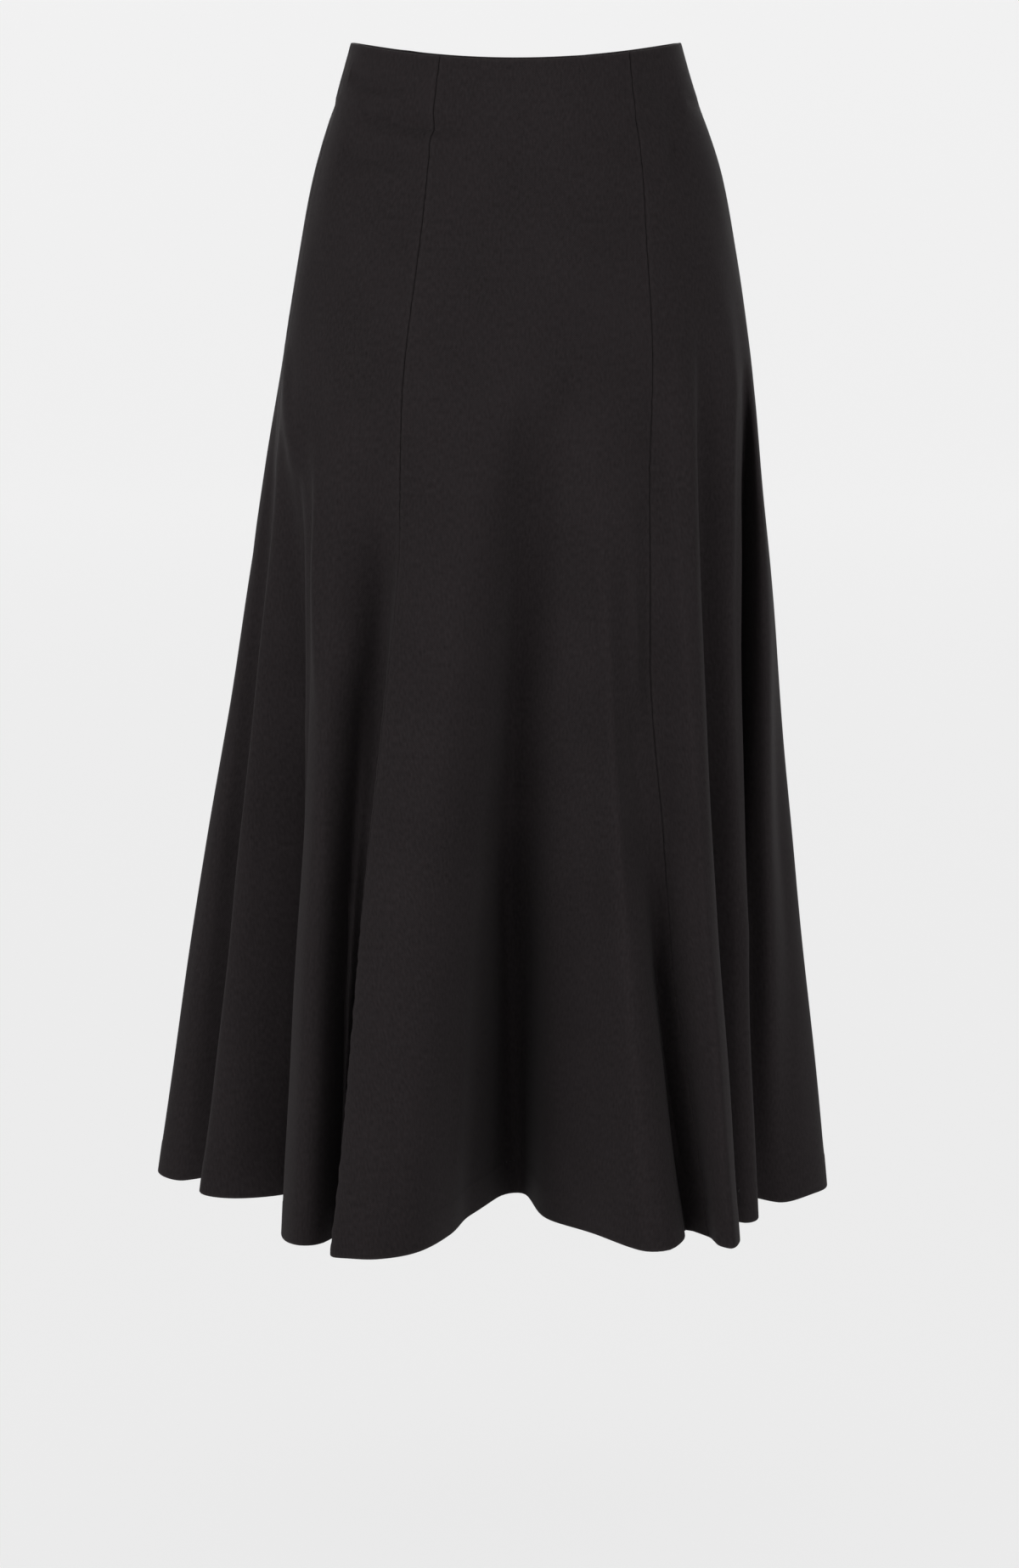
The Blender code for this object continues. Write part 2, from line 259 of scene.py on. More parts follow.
CREASES = tuple(Crease(*row) for row in (
    # name, start_turn, start_z, end_turn, end_z, width, rise, bow, lean, heading
    # Drag lines where the turned waist edge draws the cloth in, left and right of the back seams
    ("waist_left_upper", -73, -0.016, -34, -0.025, 0.005, -0.0045, -0.002),
    ("waist_left_middle", -59, -0.041, -11, -0.052, 0.005, -0.0056, -0.003),
    ("waist_left_middle_lip", -60, -0.050, -16, -0.062, 0.005, 0.0016, -0.002),
    ("waist_left_lower", -64, -0.073, -29, -0.075, 0.006, -0.0047, 0.002),
    ("waist_right_seam", 37, -0.047, 52, -0.049, 0.004, -0.0026),
    ("waist_right_hollow", 46, -0.012, 61, -0.046, 0.013, -0.0046, 0.003),
    ("waist_right_upright", 54, -0.050, 47, -0.086, 0.007, -0.0038, 0.002),
    ("waist_right_small", 37, -0.083, 45, -0.086, 0.004, -0.0020),
    ("waist_right_side", 66, -0.030, 92, -0.042, 0.006, -0.0010, -0.002),
    ("waist_left_side", -96, -0.030, -80, -0.052, 0.006, -0.0010, 0.001),
    # The starts of the back's folds, which set in obliquely from the hip
    ("ridge_c_onset", -80, -0.205, -60, -0.300, 0.009, 0.0022, -0.004),
    ("ridge_c_second", -56, -0.258, -46, -0.460, 0.008, 0.0044, 0.002),
    ("valley_b_c_onset", -70, -0.270, -60, -0.470, 0.011, -0.0040),
    ("valley_b_c_depth", -62.5, -0.290, -61.5, -0.930, 0.024, -0.0325, 0.004, -0.68, -35.0),
    ("valley_a_b_depth", -86, -0.340, -88, -0.810, 0.013, -0.0050, 0.0, -0.40),
    ("valley_c_d_onset", -31.5, -0.240, -33.5, -0.600, 0.015, -0.0095, 0.0, 0.0, -15.0),
    ("valley_c_d_right", -29, -0.320, -31, -0.540, 0.010, -0.0070, 0.0, 0.0, -15.0),
    ("valley_c_d_depth", -36, -0.420, -37.5, -0.920, 0.010, -0.0170, 0.0, -0.20, -10.0),
    ("centre_valley_oblique", 16, -0.205, 4, -0.320, 0.012, -0.0048, 0.003),
    ("centre_valley_onset", 4, -0.235, 1.5, -0.660, 0.018, -0.0140, 0.0, 0.0, 0.0),
    ("centre_valley_depth", 1.5, -0.540, 9, -0.980, 0.023, -0.0300, 0.0, 0.0, 0.0),
    ("ridge_e_hollow", 14, -0.200, 9, -0.430, 0.020, -0.0060, 0.0, 0.0, 10.0),
    ("ridge_e_band", 19, -0.250, 20, -0.420, 0.010, 0.0014),
    ("valley_e_f_fill", 26, -0.290, 30, -0.640, 0.017, 0.0115, 0.0, 0.0, 28.0),
    ("valley_e_f_depth", 31, -0.540, 28, -0.940, 0.009, -0.0155, 0.0, 0.0, 20.0),
    ("ridge_f_onset", 46, -0.220, 42, -0.400, 0.006, 0.0016),
    ("ridge_f_side", 42, -0.480, 42, -1.000, 0.009, -0.0030, 0.0, 0.0, 90.0),
    ("valley_f_g_onset", 50.5, -0.190, 49.5, -0.980, 0.013, -0.0250, 0.0, 0.50, 25.0),
    ("ridge_g_side", 67, -0.240, 66, -0.620, 0.011, -0.0046, 0.0, 0.0, 85.0),
    ("valley_g_h_onset", 76, -0.220, 72, -0.620, 0.009, -0.0360, 0.0, 0.0, 5.0),
    ("ridge_h_onset", 86, -0.240, 80, -0.800, 0.013, 0.0150, 0.0, 0.0, 5.0),
    ("ridge_g_onset", 66, -0.200, 63, -0.390, 0.006, 0.0016),
    ("ridge_a_onset", -93, -0.190, -97, -0.360, 0.008, 0.0016),
    # Soft lengthwise lines in the lower half of the back
    ("ridge_d_streak", -19, -0.600, -17, -0.800, 0.006, 0.0009, 0.001),
    ("ridge_d_fine_streak", -14, -0.690, -13, -0.815, 0.004, -0.0007),
    ("ridge_d_long_hollow", -9, -0.380, -11, -0.700, 0.012, -0.0016, 0.002),
    ("ridge_d_flank_line", -5, -0.560, -5, -0.790, 0.008, 0.0010, 0.001),
    ("ridge_c_streak", -44, -0.520, -43, -0.760, 0.006, -0.0008),
    ("ridge_b_streak", -71, -0.480, -70, -0.740, 0.007, -0.0010, 0.001),
    ("ridge_e_streak", 18, -0.520, 19, -0.780, 0.009, -0.0012, 0.002),
    ("ridge_e_crest_line", 22, -0.640, 22, -0.810, 0.005, 0.0008),
    ("ridge_f_streak", 37, -0.470, 37, -0.760, 0.005, -0.0008),
    ("ridge_h_streak", 86, -0.430, 87, -0.720, 0.009, -0.0012, 0.002),
    ("ridge_a_streak", -95, -0.500, -95, -0.760, 0.008, -0.0011, -0.001),
    # The same kinds of creases on the sides and the front
    ("front_waist_right", 118, -0.034, 150, -0.048, 0.006, -0.0012, -0.002),
    ("front_waist_right_low", 112, -0.068, 140, -0.074, 0.007, -0.0009, 0.002),
    ("front_waist_middle", 168, -0.043, 205, -0.050, 0.006, -0.0010, 0.002),
    ("front_waist_left", 226, -0.030, 256, -0.046, 0.006, -0.0012, 0.002),
    ("front_waist_left_low", 222, -0.070, 246, -0.080, 0.006, -0.0009, -0.001),
    ("valley_h_i_onset", 112, -0.210, 107, -0.400, 0.010, -0.0024, 0.002),
    ("valley_i_j_onset", 140, -0.200, 133, -0.390, 0.010, -0.0028, -0.003),
    ("valley_j_k_onset", 152, -0.230, 159, -0.420, 0.011, -0.0028, 0.002),
    ("valley_k_l_onset", 194, -0.205, 187, -0.410, 0.011, -0.0030, 0.003),
    ("valley_l_m_onset", 211, -0.220, 217, -0.400, 0.010, -0.0026),
    ("valley_m_a_onset", 256, -0.200, 249, -0.390, 0.010, -0.0024, 0.002),
    ("ridge_k_onset", 172, -0.240, 174, -0.430, 0.008, 0.0018),
    ("ridge_l_onset", 203, -0.230, 202, -0.400, 0.008, 0.0018),
    ("ridge_j_streak", 145, -0.520, 145, -0.780, 0.007, -0.0010, 0.001),
    ("ridge_k_streak", 172, -0.560, 173, -0.790, 0.008, -0.0010),
    ("ridge_l_streak", 200, -0.500, 200, -0.770, 0.007, 0.0009, 0.001),
    ("ridge_m_streak", 232, -0.470, 232, -0.750, 0.008, -0.0011),
    ("ridge_i_streak", 119, -0.480, 119, -0.740, 0.007, -0.0010, 0.001),
))

UNDULATIONS = (
    Undulation(waves_round=3, waves_per_metre=1.3, phase=0.4, rise=0.0009),
    Undulation(waves_round=5, waves_per_metre=-2.1, phase=2.1, rise=0.0006),
    Undulation(waves_round=8, waves_per_metre=3.4, phase=4.0, rise=0.0004),
    Undulation(waves_round=13, waves_per_metre=-4.6, phase=1.2, rise=0.00025),
    Undulation(waves_round=21, waves_per_metre=7.3, phase=5.2, rise=0.00012),
)


def smooth_through(x: np.ndarray, knots: np.ndarray, values: np.ndarray) -> np.ndarray:
    """Read a smooth curve through knots; each slope is that of its three knots' parabola.

    Args:
        x: Places to read at.
        knots: Rising places of the known rows.
        values: One row of values for each knot.

    Returns:
        One row of values for each place in x.
    """
    spans = np.diff(knots)
    rises = np.diff(values, axis=0) / spans[:, None]
    slopes = np.empty(values.shape)
    slopes[1:-1] = rises[:-1] * spans[1:, None] + rises[1:] * spans[:-1, None]
    slopes[1:-1] /= (spans[:-1] + spans[1:])[:, None]
    slopes[0] = rises[0]
    slopes[-1] = rises[-1]
    i = np.clip(np.searchsorted(knots, x, side="right") - 1, 0, len(spans) - 1)
    s = ((x - knots[i]) / spans[i])[:, None]
    span = spans[i][:, None]
    before = (1 - s) ** 2 * ((1 + 2 * s) * values[i] + s * span * slopes[i])
    after = s ** 2 * ((3 - 2 * s) * values[i + 1] - (1 - s) * span * slopes[i + 1])
    return before + after


def closed(
    knots: np.ndarray, values: np.ndarray, knot_period: float, value_period: float = 0.0
) -> tuple[np.ndarray, np.ndarray]:
    """Repeat two knots of a closed curve at each end, a period of knots and of values further on."""
    wide = []
    for part, period in ((knots, knot_period), (values, value_period)):
        wide.append(np.concatenate([part[-2:] - period, part, part[:2] + period]))
    return wide[0], wide[1]


def oval_points(z: np.ndarray, turns: np.ndarray) -> np.ndarray:
    """Points (x, y) on the plain ovals, one for each height and turn."""
    rows = [(s.z, s.half_width, s.back_depth, s.front_depth, s.centre_x) for s in SECTIONS]
    table = np.array(rows)[::-1]
    half_width, back, front, centre_x = smooth_through(z, table[:, 0], table[:, 1:]).T
    angle = np.radians(turns)
    depth = np.where(np.cos(angle) > 0, back, front)
    return np.column_stack([centre_x + half_width * np.sin(angle), -depth * np.cos(angle)])


def bell(distance: np.ndarray, width: np.ndarray | float) -> np.ndarray:
    """A soft hump: 1 at no distance and fading to nothing past twice the width."""
    return np.exp(-((distance / width) ** 2))


def ease(x: np.ndarray) -> np.ndarray:
    """Rise smoothly from 0 to 1 while x goes from 0 to 1."""
    x = np.clip(x, 0.0, 1.0)
    return x * x * (3 - 2 * x)


def unit(vectors: np.ndarray) -> np.ndarray:
    """The same directions at length 1."""
    return vectors / np.linalg.norm(vectors, axis=-1, keepdims=True)


def solid(colour: Colour) -> tuple[float, float, float, float]:
    """A colour that is not see-through."""
    return (*colour, 1.0)


def rolled(distance: np.ndarray, radius: float) -> np.ndarray:
    """How far a rounded edge has fallen back at each distance from the edge."""
    short = np.clip(radius - distance, 0.0, radius)
    return radius - np.sqrt(radius ** 2 - short ** 2)


class SkirtForm:
    """The skirt's outer surface before its small creases, by level and turn."""

    SEARCH_STEPS = 3600
    SMALL_TURN = 0.05
    SMALL_LEVEL = 0.001

    def __init__(self) -> None:
        """Read the fold lines and spread them out into lanes, so that tight folds stay round."""
        self.turns = np.array([float(line.turn) for line in FOLD_LINES])
        self.hem_z = HEM_Z + np.array([line.hem_rise for line in FOLD_LINES])
        self.start_z = np.array([line.start_z for line in FOLD_LINES])
        hem_xy = np.array([(line.hem_x, line.hem_y) for line in FOLD_LINES])
        self.shift = hem_xy - oval_points(self.hem_z, self.turns)
        steps = np.sqrt(np.linalg.norm(np.roll(hem_xy, -1, axis=0) - hem_xy, axis=1))
        self.lanes = np.concatenate([[0.0], np.cumsum(steps)[:-1]])
        self.lanes_round = float(steps.sum())
        self.search_turns = self.turns[0] + np.linspace(0.0, FULL_TURN, self.SEARCH_STEPS + 1)
        self.search_lanes = np.append(self.lane_at(self.search_turns[:-1]), self.lanes_round)

    def lane_at(self, turns: np.ndarray) -> np.ndarray:
        """Lane of each turn: a measure round the skirt that is spread out where folds crowd."""
        knots, lanes = closed(self.turns, self.lanes, FULL_TURN, self.lanes_round)
        wrapped = (turns - self.turns[0]) % FULL_TURN + self.turns[0]
        return smooth_through(wrapped, knots, lanes[:, None])[:, 0]

    def turn_at(self, lanes: np.ndarray) -> np.ndarray:
        """Turn of each lane, counted on past a full round."""
        rounds, rest = np.divmod(lanes, self.lanes_round)
        return np.interp(rest, self.search_lanes, self.search_turns) + FULL_TURN * rounds

    def round_skirt(self, lanes: np.ndarray, values: np.ndarray) -> np.ndarray:
        """Read the fold lines' values at the given lanes, smoothly all round."""
        knots, rows = closed(self.lanes, values, self.lanes_round)
        return smooth_through(lanes, knots, rows)

    def points(self, level: float, turns: np.ndarray) -> np.ndarray:
        """Outer points of the cloth at one level.

        Args:
            level: Share of the way from the waist to the hem.
            turns: Turns to read at.

        Returns:
            One point for each turn.
        """
        lanes = self.lane_at(turns)
        angle = np.radians(turns)
        dip = np.where(np.cos(angle) > 0, TOP_BACK_DIP, TOP_FRONT_DIP)
        top_z = TOP_SIDE_RISE - (TOP_SIDE_RISE + dip) * np.cos(angle) ** 2
        hem_z = self.round_skirt(lanes, self.hem_z[:, None])[:, 0]
        z = top_z + (hem_z - top_z) * level
        fallen = (self.start_z - self.hem_z * level) / (self.start_z - self.hem_z)
        fallen = np.clip(fallen, 0.0, 1.0)
        share = fallen ** 2 * (1 + ONSET_SOFTNESS) / (fallen + ONSET_SOFTNESS)
        xy = oval_points(z, turns) + self.round_skirt(lanes, self.shift * share[:, None])
        return np.column_stack([xy, z])

    def frame(self, level: float, turns: np.ndarray) -> tuple[np.ndarray, np.ndarray, np.ndarray]:
        """Points of the cloth with the directions there.

        Args:
            level: Share of the way from the waist to the hem.
            turns: Turns to read at.

        Returns:
            Points, unit directions down the cloth and unit outward normals.
        """
        points = self.points(level, turns)
        around = self.points(level, turns + self.SMALL_TURN)
        around -= self.points(level, turns - self.SMALL_TURN)
        down = self.points(level + self.SMALL_LEVEL, turns)
        down -= self.points(level - self.SMALL_LEVEL, turns)
        return points, unit(down), unit(np.cross(down, around))

    def seam_turn(self, seam: SeamLine, level: float) -> float:
        """Turn of a seam at one level."""
        turns = np.array([seam.waist, seam.high_hip, seam.hip, seam.thigh, seam.hem], dtype=float)
        return float(smooth_through(np.array([level]), np.array(SEAM_LEVELS), turns[:, None])[0, 0])


@dataclass(frozen=True)
class RowPlan:
    """Where the rows of a panel lie, as drops from the waist edge, and how thick the cloth is there."""

    cloth: float = 0.0014
    turned_cloth: float = 0.0026
    waist_turning: float = 0.040
    hem_turning: float = 0.024
    edge_rows: tuple[float, ...] = (0.0, 0.0002, 0.0005, 0.0009, 0.0014, 0.0024, 0.0040)
    step_rows: tuple[float, ...] = (-0.0012, -0.0004, 0.0, 0.0002, 0.0010)
    waist_rows: int = 10
    body_rows: int = 152
    hem_rows: int = 8
    rounding: float = 1e-6

    def drops(self) -> np.ndarray:
        """Drops of all rows, close together at the edges and at the ends of the turnings."""
        edge = np.array(self.edge_rows)
        steps = np.array(self.step_rows)
        waist_end = self.waist_turning + steps
        hem_start = CLOTH_LENGTH - self.hem_turning - steps[::-1]
        waist = np.linspace(edge[-1], waist_end[0], self.waist_rows)[1:-1]
        body = np.linspace(waist_end[-1], hem_start[0], self.body_rows)[1:-1]
        hem = np.linspace(hem_start[-1], CLOTH_LENGTH - edge[-1], self.hem_rows)[1:-1]
        hem_edge = CLOTH_LENGTH - edge[::-1]
        return np.concatenate([edge, waist, waist_end, body, hem_start, hem, hem_edge])

    def thickness(self, drops: np.ndarray) -> np.ndarray:
        """Thickness of the wall at each drop: two layers where an edge is turned in."""
        turned = drops <= self.waist_turning + self.rounding
        turned |= drops >= CLOTH_LENGTH - self.hem_turning - self.rounding
        return np.where(turned, self.turned_cloth, self.cloth)

    def edge_distance(self, drops: np.ndarray) -> np.ndarray:
        """Distance of each drop from the nearer of the waist edge and the hem."""
        return np.minimum(drops, CLOTH_LENGTH - drops)


@dataclass
class Patch:
    """A grid of spots on the creased cloth, a row for each drop."""

    drops: np.ndarray
    arcs: np.ndarray
    points: np.ndarray
    down: np.ndarray
    normals: np.ndarray

    def inside(self, depth: np.ndarray | float) -> np.ndarray:
        """Points at the given depth under the outer face."""
        return self.points - self.normals * np.asarray(depth)[..., None]


@dataclass
class CreasedCloth:
    """The skirt's outer surface with its creases, its seams' pucker and the marks of its turnings."""

    form: SkirtForm
    plan: RowPlan
    ring_steps: int = 2400
    seam_groove: float = 0.0012
    undulation_start: float = 0.02
    undulation_ramp: float = 0.15
    seam_pucker: float = 0.00028
    pucker_reach: float = 0.0065
    pucker_rate: float = 470.0
    pucker_drift: float = 2.0
    pucker_drift_rate: float = 61.0
    second_pucker: float = 0.6
    second_pucker_rate: float = 293.0
    second_pucker_phase: float = 1.0
    allowance: float = 0.010
    allowance_print: float = 0.00012
    allowance_step: float = 0.0015
    waist_print: float = 0.00040
    hem_print: float = 0.00028
    turning_step: float = 0.003
    hem_step_lead: float = 0.002
    hem_ripple: float = 0.00055
    ripple_height: float = 0.06
    ripples_round: int = 27
    ripple_drift: float = 1.9
    ripple_drifts_round: int = 5
    crease_fade: float = 0.8
    drops: np.ndarray = field(init=False)
    levels: np.ndarray = field(init=False)
    ring_turns: np.ndarray = field(init=False)
    ring_arcs: np.ndarray = field(init=False)
    crease_origins: dict[str, np.ndarray] = field(init=False)

    def __post_init__(self) -> None:
        """Measure the length round the skirt at each row, once for all gores."""
        self.drops = self.plan.drops()
        self.levels = self.drops / CLOTH_LENGTH
        lanes = np.linspace(0.0, self.form.lanes_round, self.ring_steps + 1)
        self.ring_turns = self.form.turn_at(lanes[:-1])
        self.ring_turns = np.append(self.ring_turns, self.ring_turns[0] + FULL_TURN)
        arcs = []
        for level in self.levels:
            ring = self.form.points(level, self.ring_turns)
            steps = np.linalg.norm(np.diff(ring, axis=0), axis=1)
            arcs.append(np.concatenate([[0.0], np.cumsum(steps)]))
        self.ring_arcs = np.array(arcs)
        self.crease_origins = {}
        for crease in CREASES:
            middle = (crease.start_turn + crease.end_turn) / 2
            origin = [self.arc_at(row, middle) for row in range(len(self.levels))]
            self.crease_origins[crease.name] = np.array(origin)

    def arc_at(self, row: int, turns: np.ndarray | float) -> np.ndarray:
        """Length round the skirt from the first fold line to each turn, in one row."""
        rounds, rest = np.divmod(np.asarray(turns) - self.ring_turns[0], FULL_TURN)
        first = np.interp(rest + self.ring_turns[0], self.ring_turns, self.ring_arcs[row])
        return first + rounds * self.ring_arcs[row, -1]

    def turn_at(self, row: int, arcs: np.ndarray) -> np.ndarray:
        """Turn at each length round the skirt, in one row."""
        rounds, rest = np.divmod(arcs, self.ring_arcs[row, -1])
        return np.interp(rest, self.ring_arcs[row], self.ring_turns) + rounds * FULL_TURN

    def crease_height(
        self, crease: Crease, rows: np.ndarray, arcs: np.ndarray, z: np.ndarray
    ) -> np.ndarray:
        """Height of one crease over a grid of spots.

        Args:
            crease: The crease.
            rows: Index of each row of the grid.
            arcs: Length round the skirt at each spot.
            z: Height of each spot.

        Returns:
            How far the crease lifts each spot.
        """
        rounds = self.ring_arcs[rows, -1][:, None]
        origins = self.crease_origins[crease.name]
        across = (arcs - origins[rows][:, None] + rounds / 2) % rounds - rounds / 2
        ends = []
        for turn, end_z in ((crease.start_turn, crease.start_z), (crease.end_turn, crease.end_z)):
            row = int(np.argmin(np.abs(self.levels * HEM_Z - end_z)))
            ends.append((self.arc_at(row, turn) - origins[row], end_z))
        run = np.subtract(ends[1], ends[0])
        length = np.linalg.norm(run)
        from_start = np.stack([across - ends[0][0], z - ends[0][1]], axis=-1)
        share = from_start @ run / length ** 2
        side = (from_start[..., 1] * run[0] - from_start[..., 0] * run[1]) / length
        fade = np.clip(4 * share * (1 - share), 0.0, 1.0)
        side -= crease.bow * fade
        width = crease.width * (1 + crease.lean * np.sign(side))
        return crease.rise * fade ** self.crease_fade * bell(side, width)

    def heights(
        self, rows: np.ndarray, turns: np.ndarray, points: np.ndarray, seam_distance: np.ndarray
    ) -> np.ndarray:
        """Height of all small relief but the creases over a grid of spots.

        Args:
            rows: Index of each row of the grid.
            turns: Turn of each spot.
            points: The smooth surface's points.
            seam_distance: Distance of each spot from the nearest seam.

        Returns:
            How far each spot is lifted off the smooth surface.
        """
        z = points[..., 2]
        angle = np.radians(turns)
        drops = self.drops[rows][:, None]
        height = np.zeros(z.shape)
        for wave in UNDULATIONS:
            phase = wave.waves_round * angle + 2 * math.pi * wave.waves_per_metre * z + wave.phase
            height += wave.rise * np.sin(phase)
        height *= ease((drops - self.undulation_start) / self.undulation_ramp)
        drift = self.pucker_drift * np.sin(self.pucker_drift_rate * z)
        pucker = np.sin(self.pucker_rate * z + drift)
        pucker += self.second_pucker * np.sin(self.second_pucker_rate * z + self.second_pucker_phase)
        height += self.seam_pucker * pucker * bell(seam_distance, self.pucker_reach)
        past_allowance = ease((seam_distance - self.allowance) / self.allowance_step)
        height += self.allowance_print * (1 - past_allowance)
        height += self.waist_print * (1 - ease((drops - self.plan.waist_turning) / self.turning_step))
        hem_start = CLOTH_LENGTH - self.plan.hem_turning - self.hem_step_lead
        height += self.hem_print * ease((drops - hem_start) / self.turning_step)
        near_hem = ease((drops - CLOTH_LENGTH + self.ripple_height) / self.ripple_height)
        drift = self.ripple_drift * np.sin(self.ripple_drifts_round * angle)
        height += self.hem_ripple * near_hem * np.sin(self.ripples_round * angle + drift)
        return height

    def patch(self, rows: np.ndarray, turns: np.ndarray, seam_distance: np.ndarray) -> Patch:
        """A grid of spots on the creased cloth.

        Args:
            rows: Index of each row of the grid among the plan's rows.
            turns: Turn of each spot.
            seam_distance: Distance of each spot from the nearest seam.

        Returns:
            The patch.
        """
        frames = [self.form.frame(self.levels[row], line) for row, line in zip(rows, turns)]
        points, down, normals = (np.array(part) for part in zip(*frames))
        arcs = np.array([self.arc_at(row, line) for row, line in zip(rows, turns)])
        z = points[..., 2]
        points = points + normals * self.heights(rows, turns, points, seam_distance)[..., None]
        for crease in CREASES:
            points += crease.way(normals) * self.crease_height(crease, rows, arcs, z)[..., None]
        if len(rows) > 1:
            normals = self.normals_of(points)
        return Patch(self.drops[rows], arcs, points, down, normals)

    @staticmethod
    def normals_of(points: np.ndarray) -> np.ndarray:
        """Unit outward normals of a grid of points, whose rows run down and columns run round."""
        down, around = np.gradient(points, axis=0), np.gradient(points, axis=1)
        return unit(np.cross(down, around))


class Grid:
    """Meshes made from equal grids of points."""

    SHARP_ANGLE = 50.0

    @staticmethod
    def wall(name: str, outer: np.ndarray, inner: np.ndarray) -> bpy.types.Mesh:
        """One closed wall between two grids, the first of which faces outward.

        Args:
            name: Name of the mesh.
            outer: Points of the outer face, by row and column.
            inner: Points of the inner face.

        Returns:
            The mesh, smooth shaded with its sharp edges marked.
        """
        rows, columns = outer.shape[:2]
        index = np.arange(rows * columns).reshape(rows, columns)
        under = index + rows * columns
        corners = [index[:-1, :-1], index[1:, :-1], index[1:, 1:], index[:-1, 1:]]
        face = np.stack(corners, axis=-1).reshape(-1, 4)
        faces = [
            face,
            face[:, [0, 3, 2, 1]] + rows * columns,
            np.column_stack([index[:-1, 0], under[:-1, 0], under[1:, 0], index[1:, 0]]),
            np.column_stack([index[:-1, -1], index[1:, -1], under[1:, -1], under[:-1, -1]]),
            np.column_stack([index[0, :-1], index[0, 1:], under[0, 1:], under[0, :-1]]),
            np.column_stack([index[-1, :-1], under[-1, :-1], under[-1, 1:], index[-1, 1:]]),
        ]
        mesh = bpy.data.meshes.new(name)
        points = np.concatenate([outer.reshape(-1, 3), inner.reshape(-1, 3)])
        mesh.from_pydata(points.tolist(), [], np.concatenate(faces).tolist())
        mesh.shade_smooth()
        mesh.set_sharp_from_angle(angle=math.radians(Grid.SHARP_ANGLE))
        return mesh

    @staticmethod
    def lay_flat(mesh: bpy.types.Mesh, across: np.ndarray, drops: np.ndarray, wear: np.ndarray) -> None:
        """Lay the cloth's UV map, in metres on the flat cloth, and its wear on both faces of a wall.

        Args:
            mesh: A wall made by this class.
            across: Place across the cloth of each point of one face.
            drops: Drop of each row.
            wear: How worn each point of one face is, from 0 to 1.
        """
        along = np.repeat(-drops[:, None], across.shape[1], 1)
        flat = np.column_stack([across.ravel(), along.ravel()])
        flat = np.concatenate([flat, flat])
        corner_points = np.empty(len(mesh.loops), dtype=np.int32)
        mesh.loops.foreach_get("vertex_index", corner_points)
        layer = mesh.uv_layers.new(name=CLOTH_UV)
        layer.uv.foreach_set("vector", flat[corner_points].ravel())
        worn = mesh.attributes.new(WEAR, "FLOAT", "POINT")
        worn.data.foreach_set("value", np.concatenate([wear.ravel(), wear.ravel()]))

    @staticmethod
    def place(mesh: bpy.types.Mesh, material: bpy.types.Material) -> bpy.types.Object:
        """Put a mesh in the scene under its own name, with its one material."""
        mesh.materials.clear()
        mesh.materials.append(material)
        piece = bpy.data.objects.new(mesh.name, mesh)
        bpy.context.collection.objects.link(piece)
        return piece


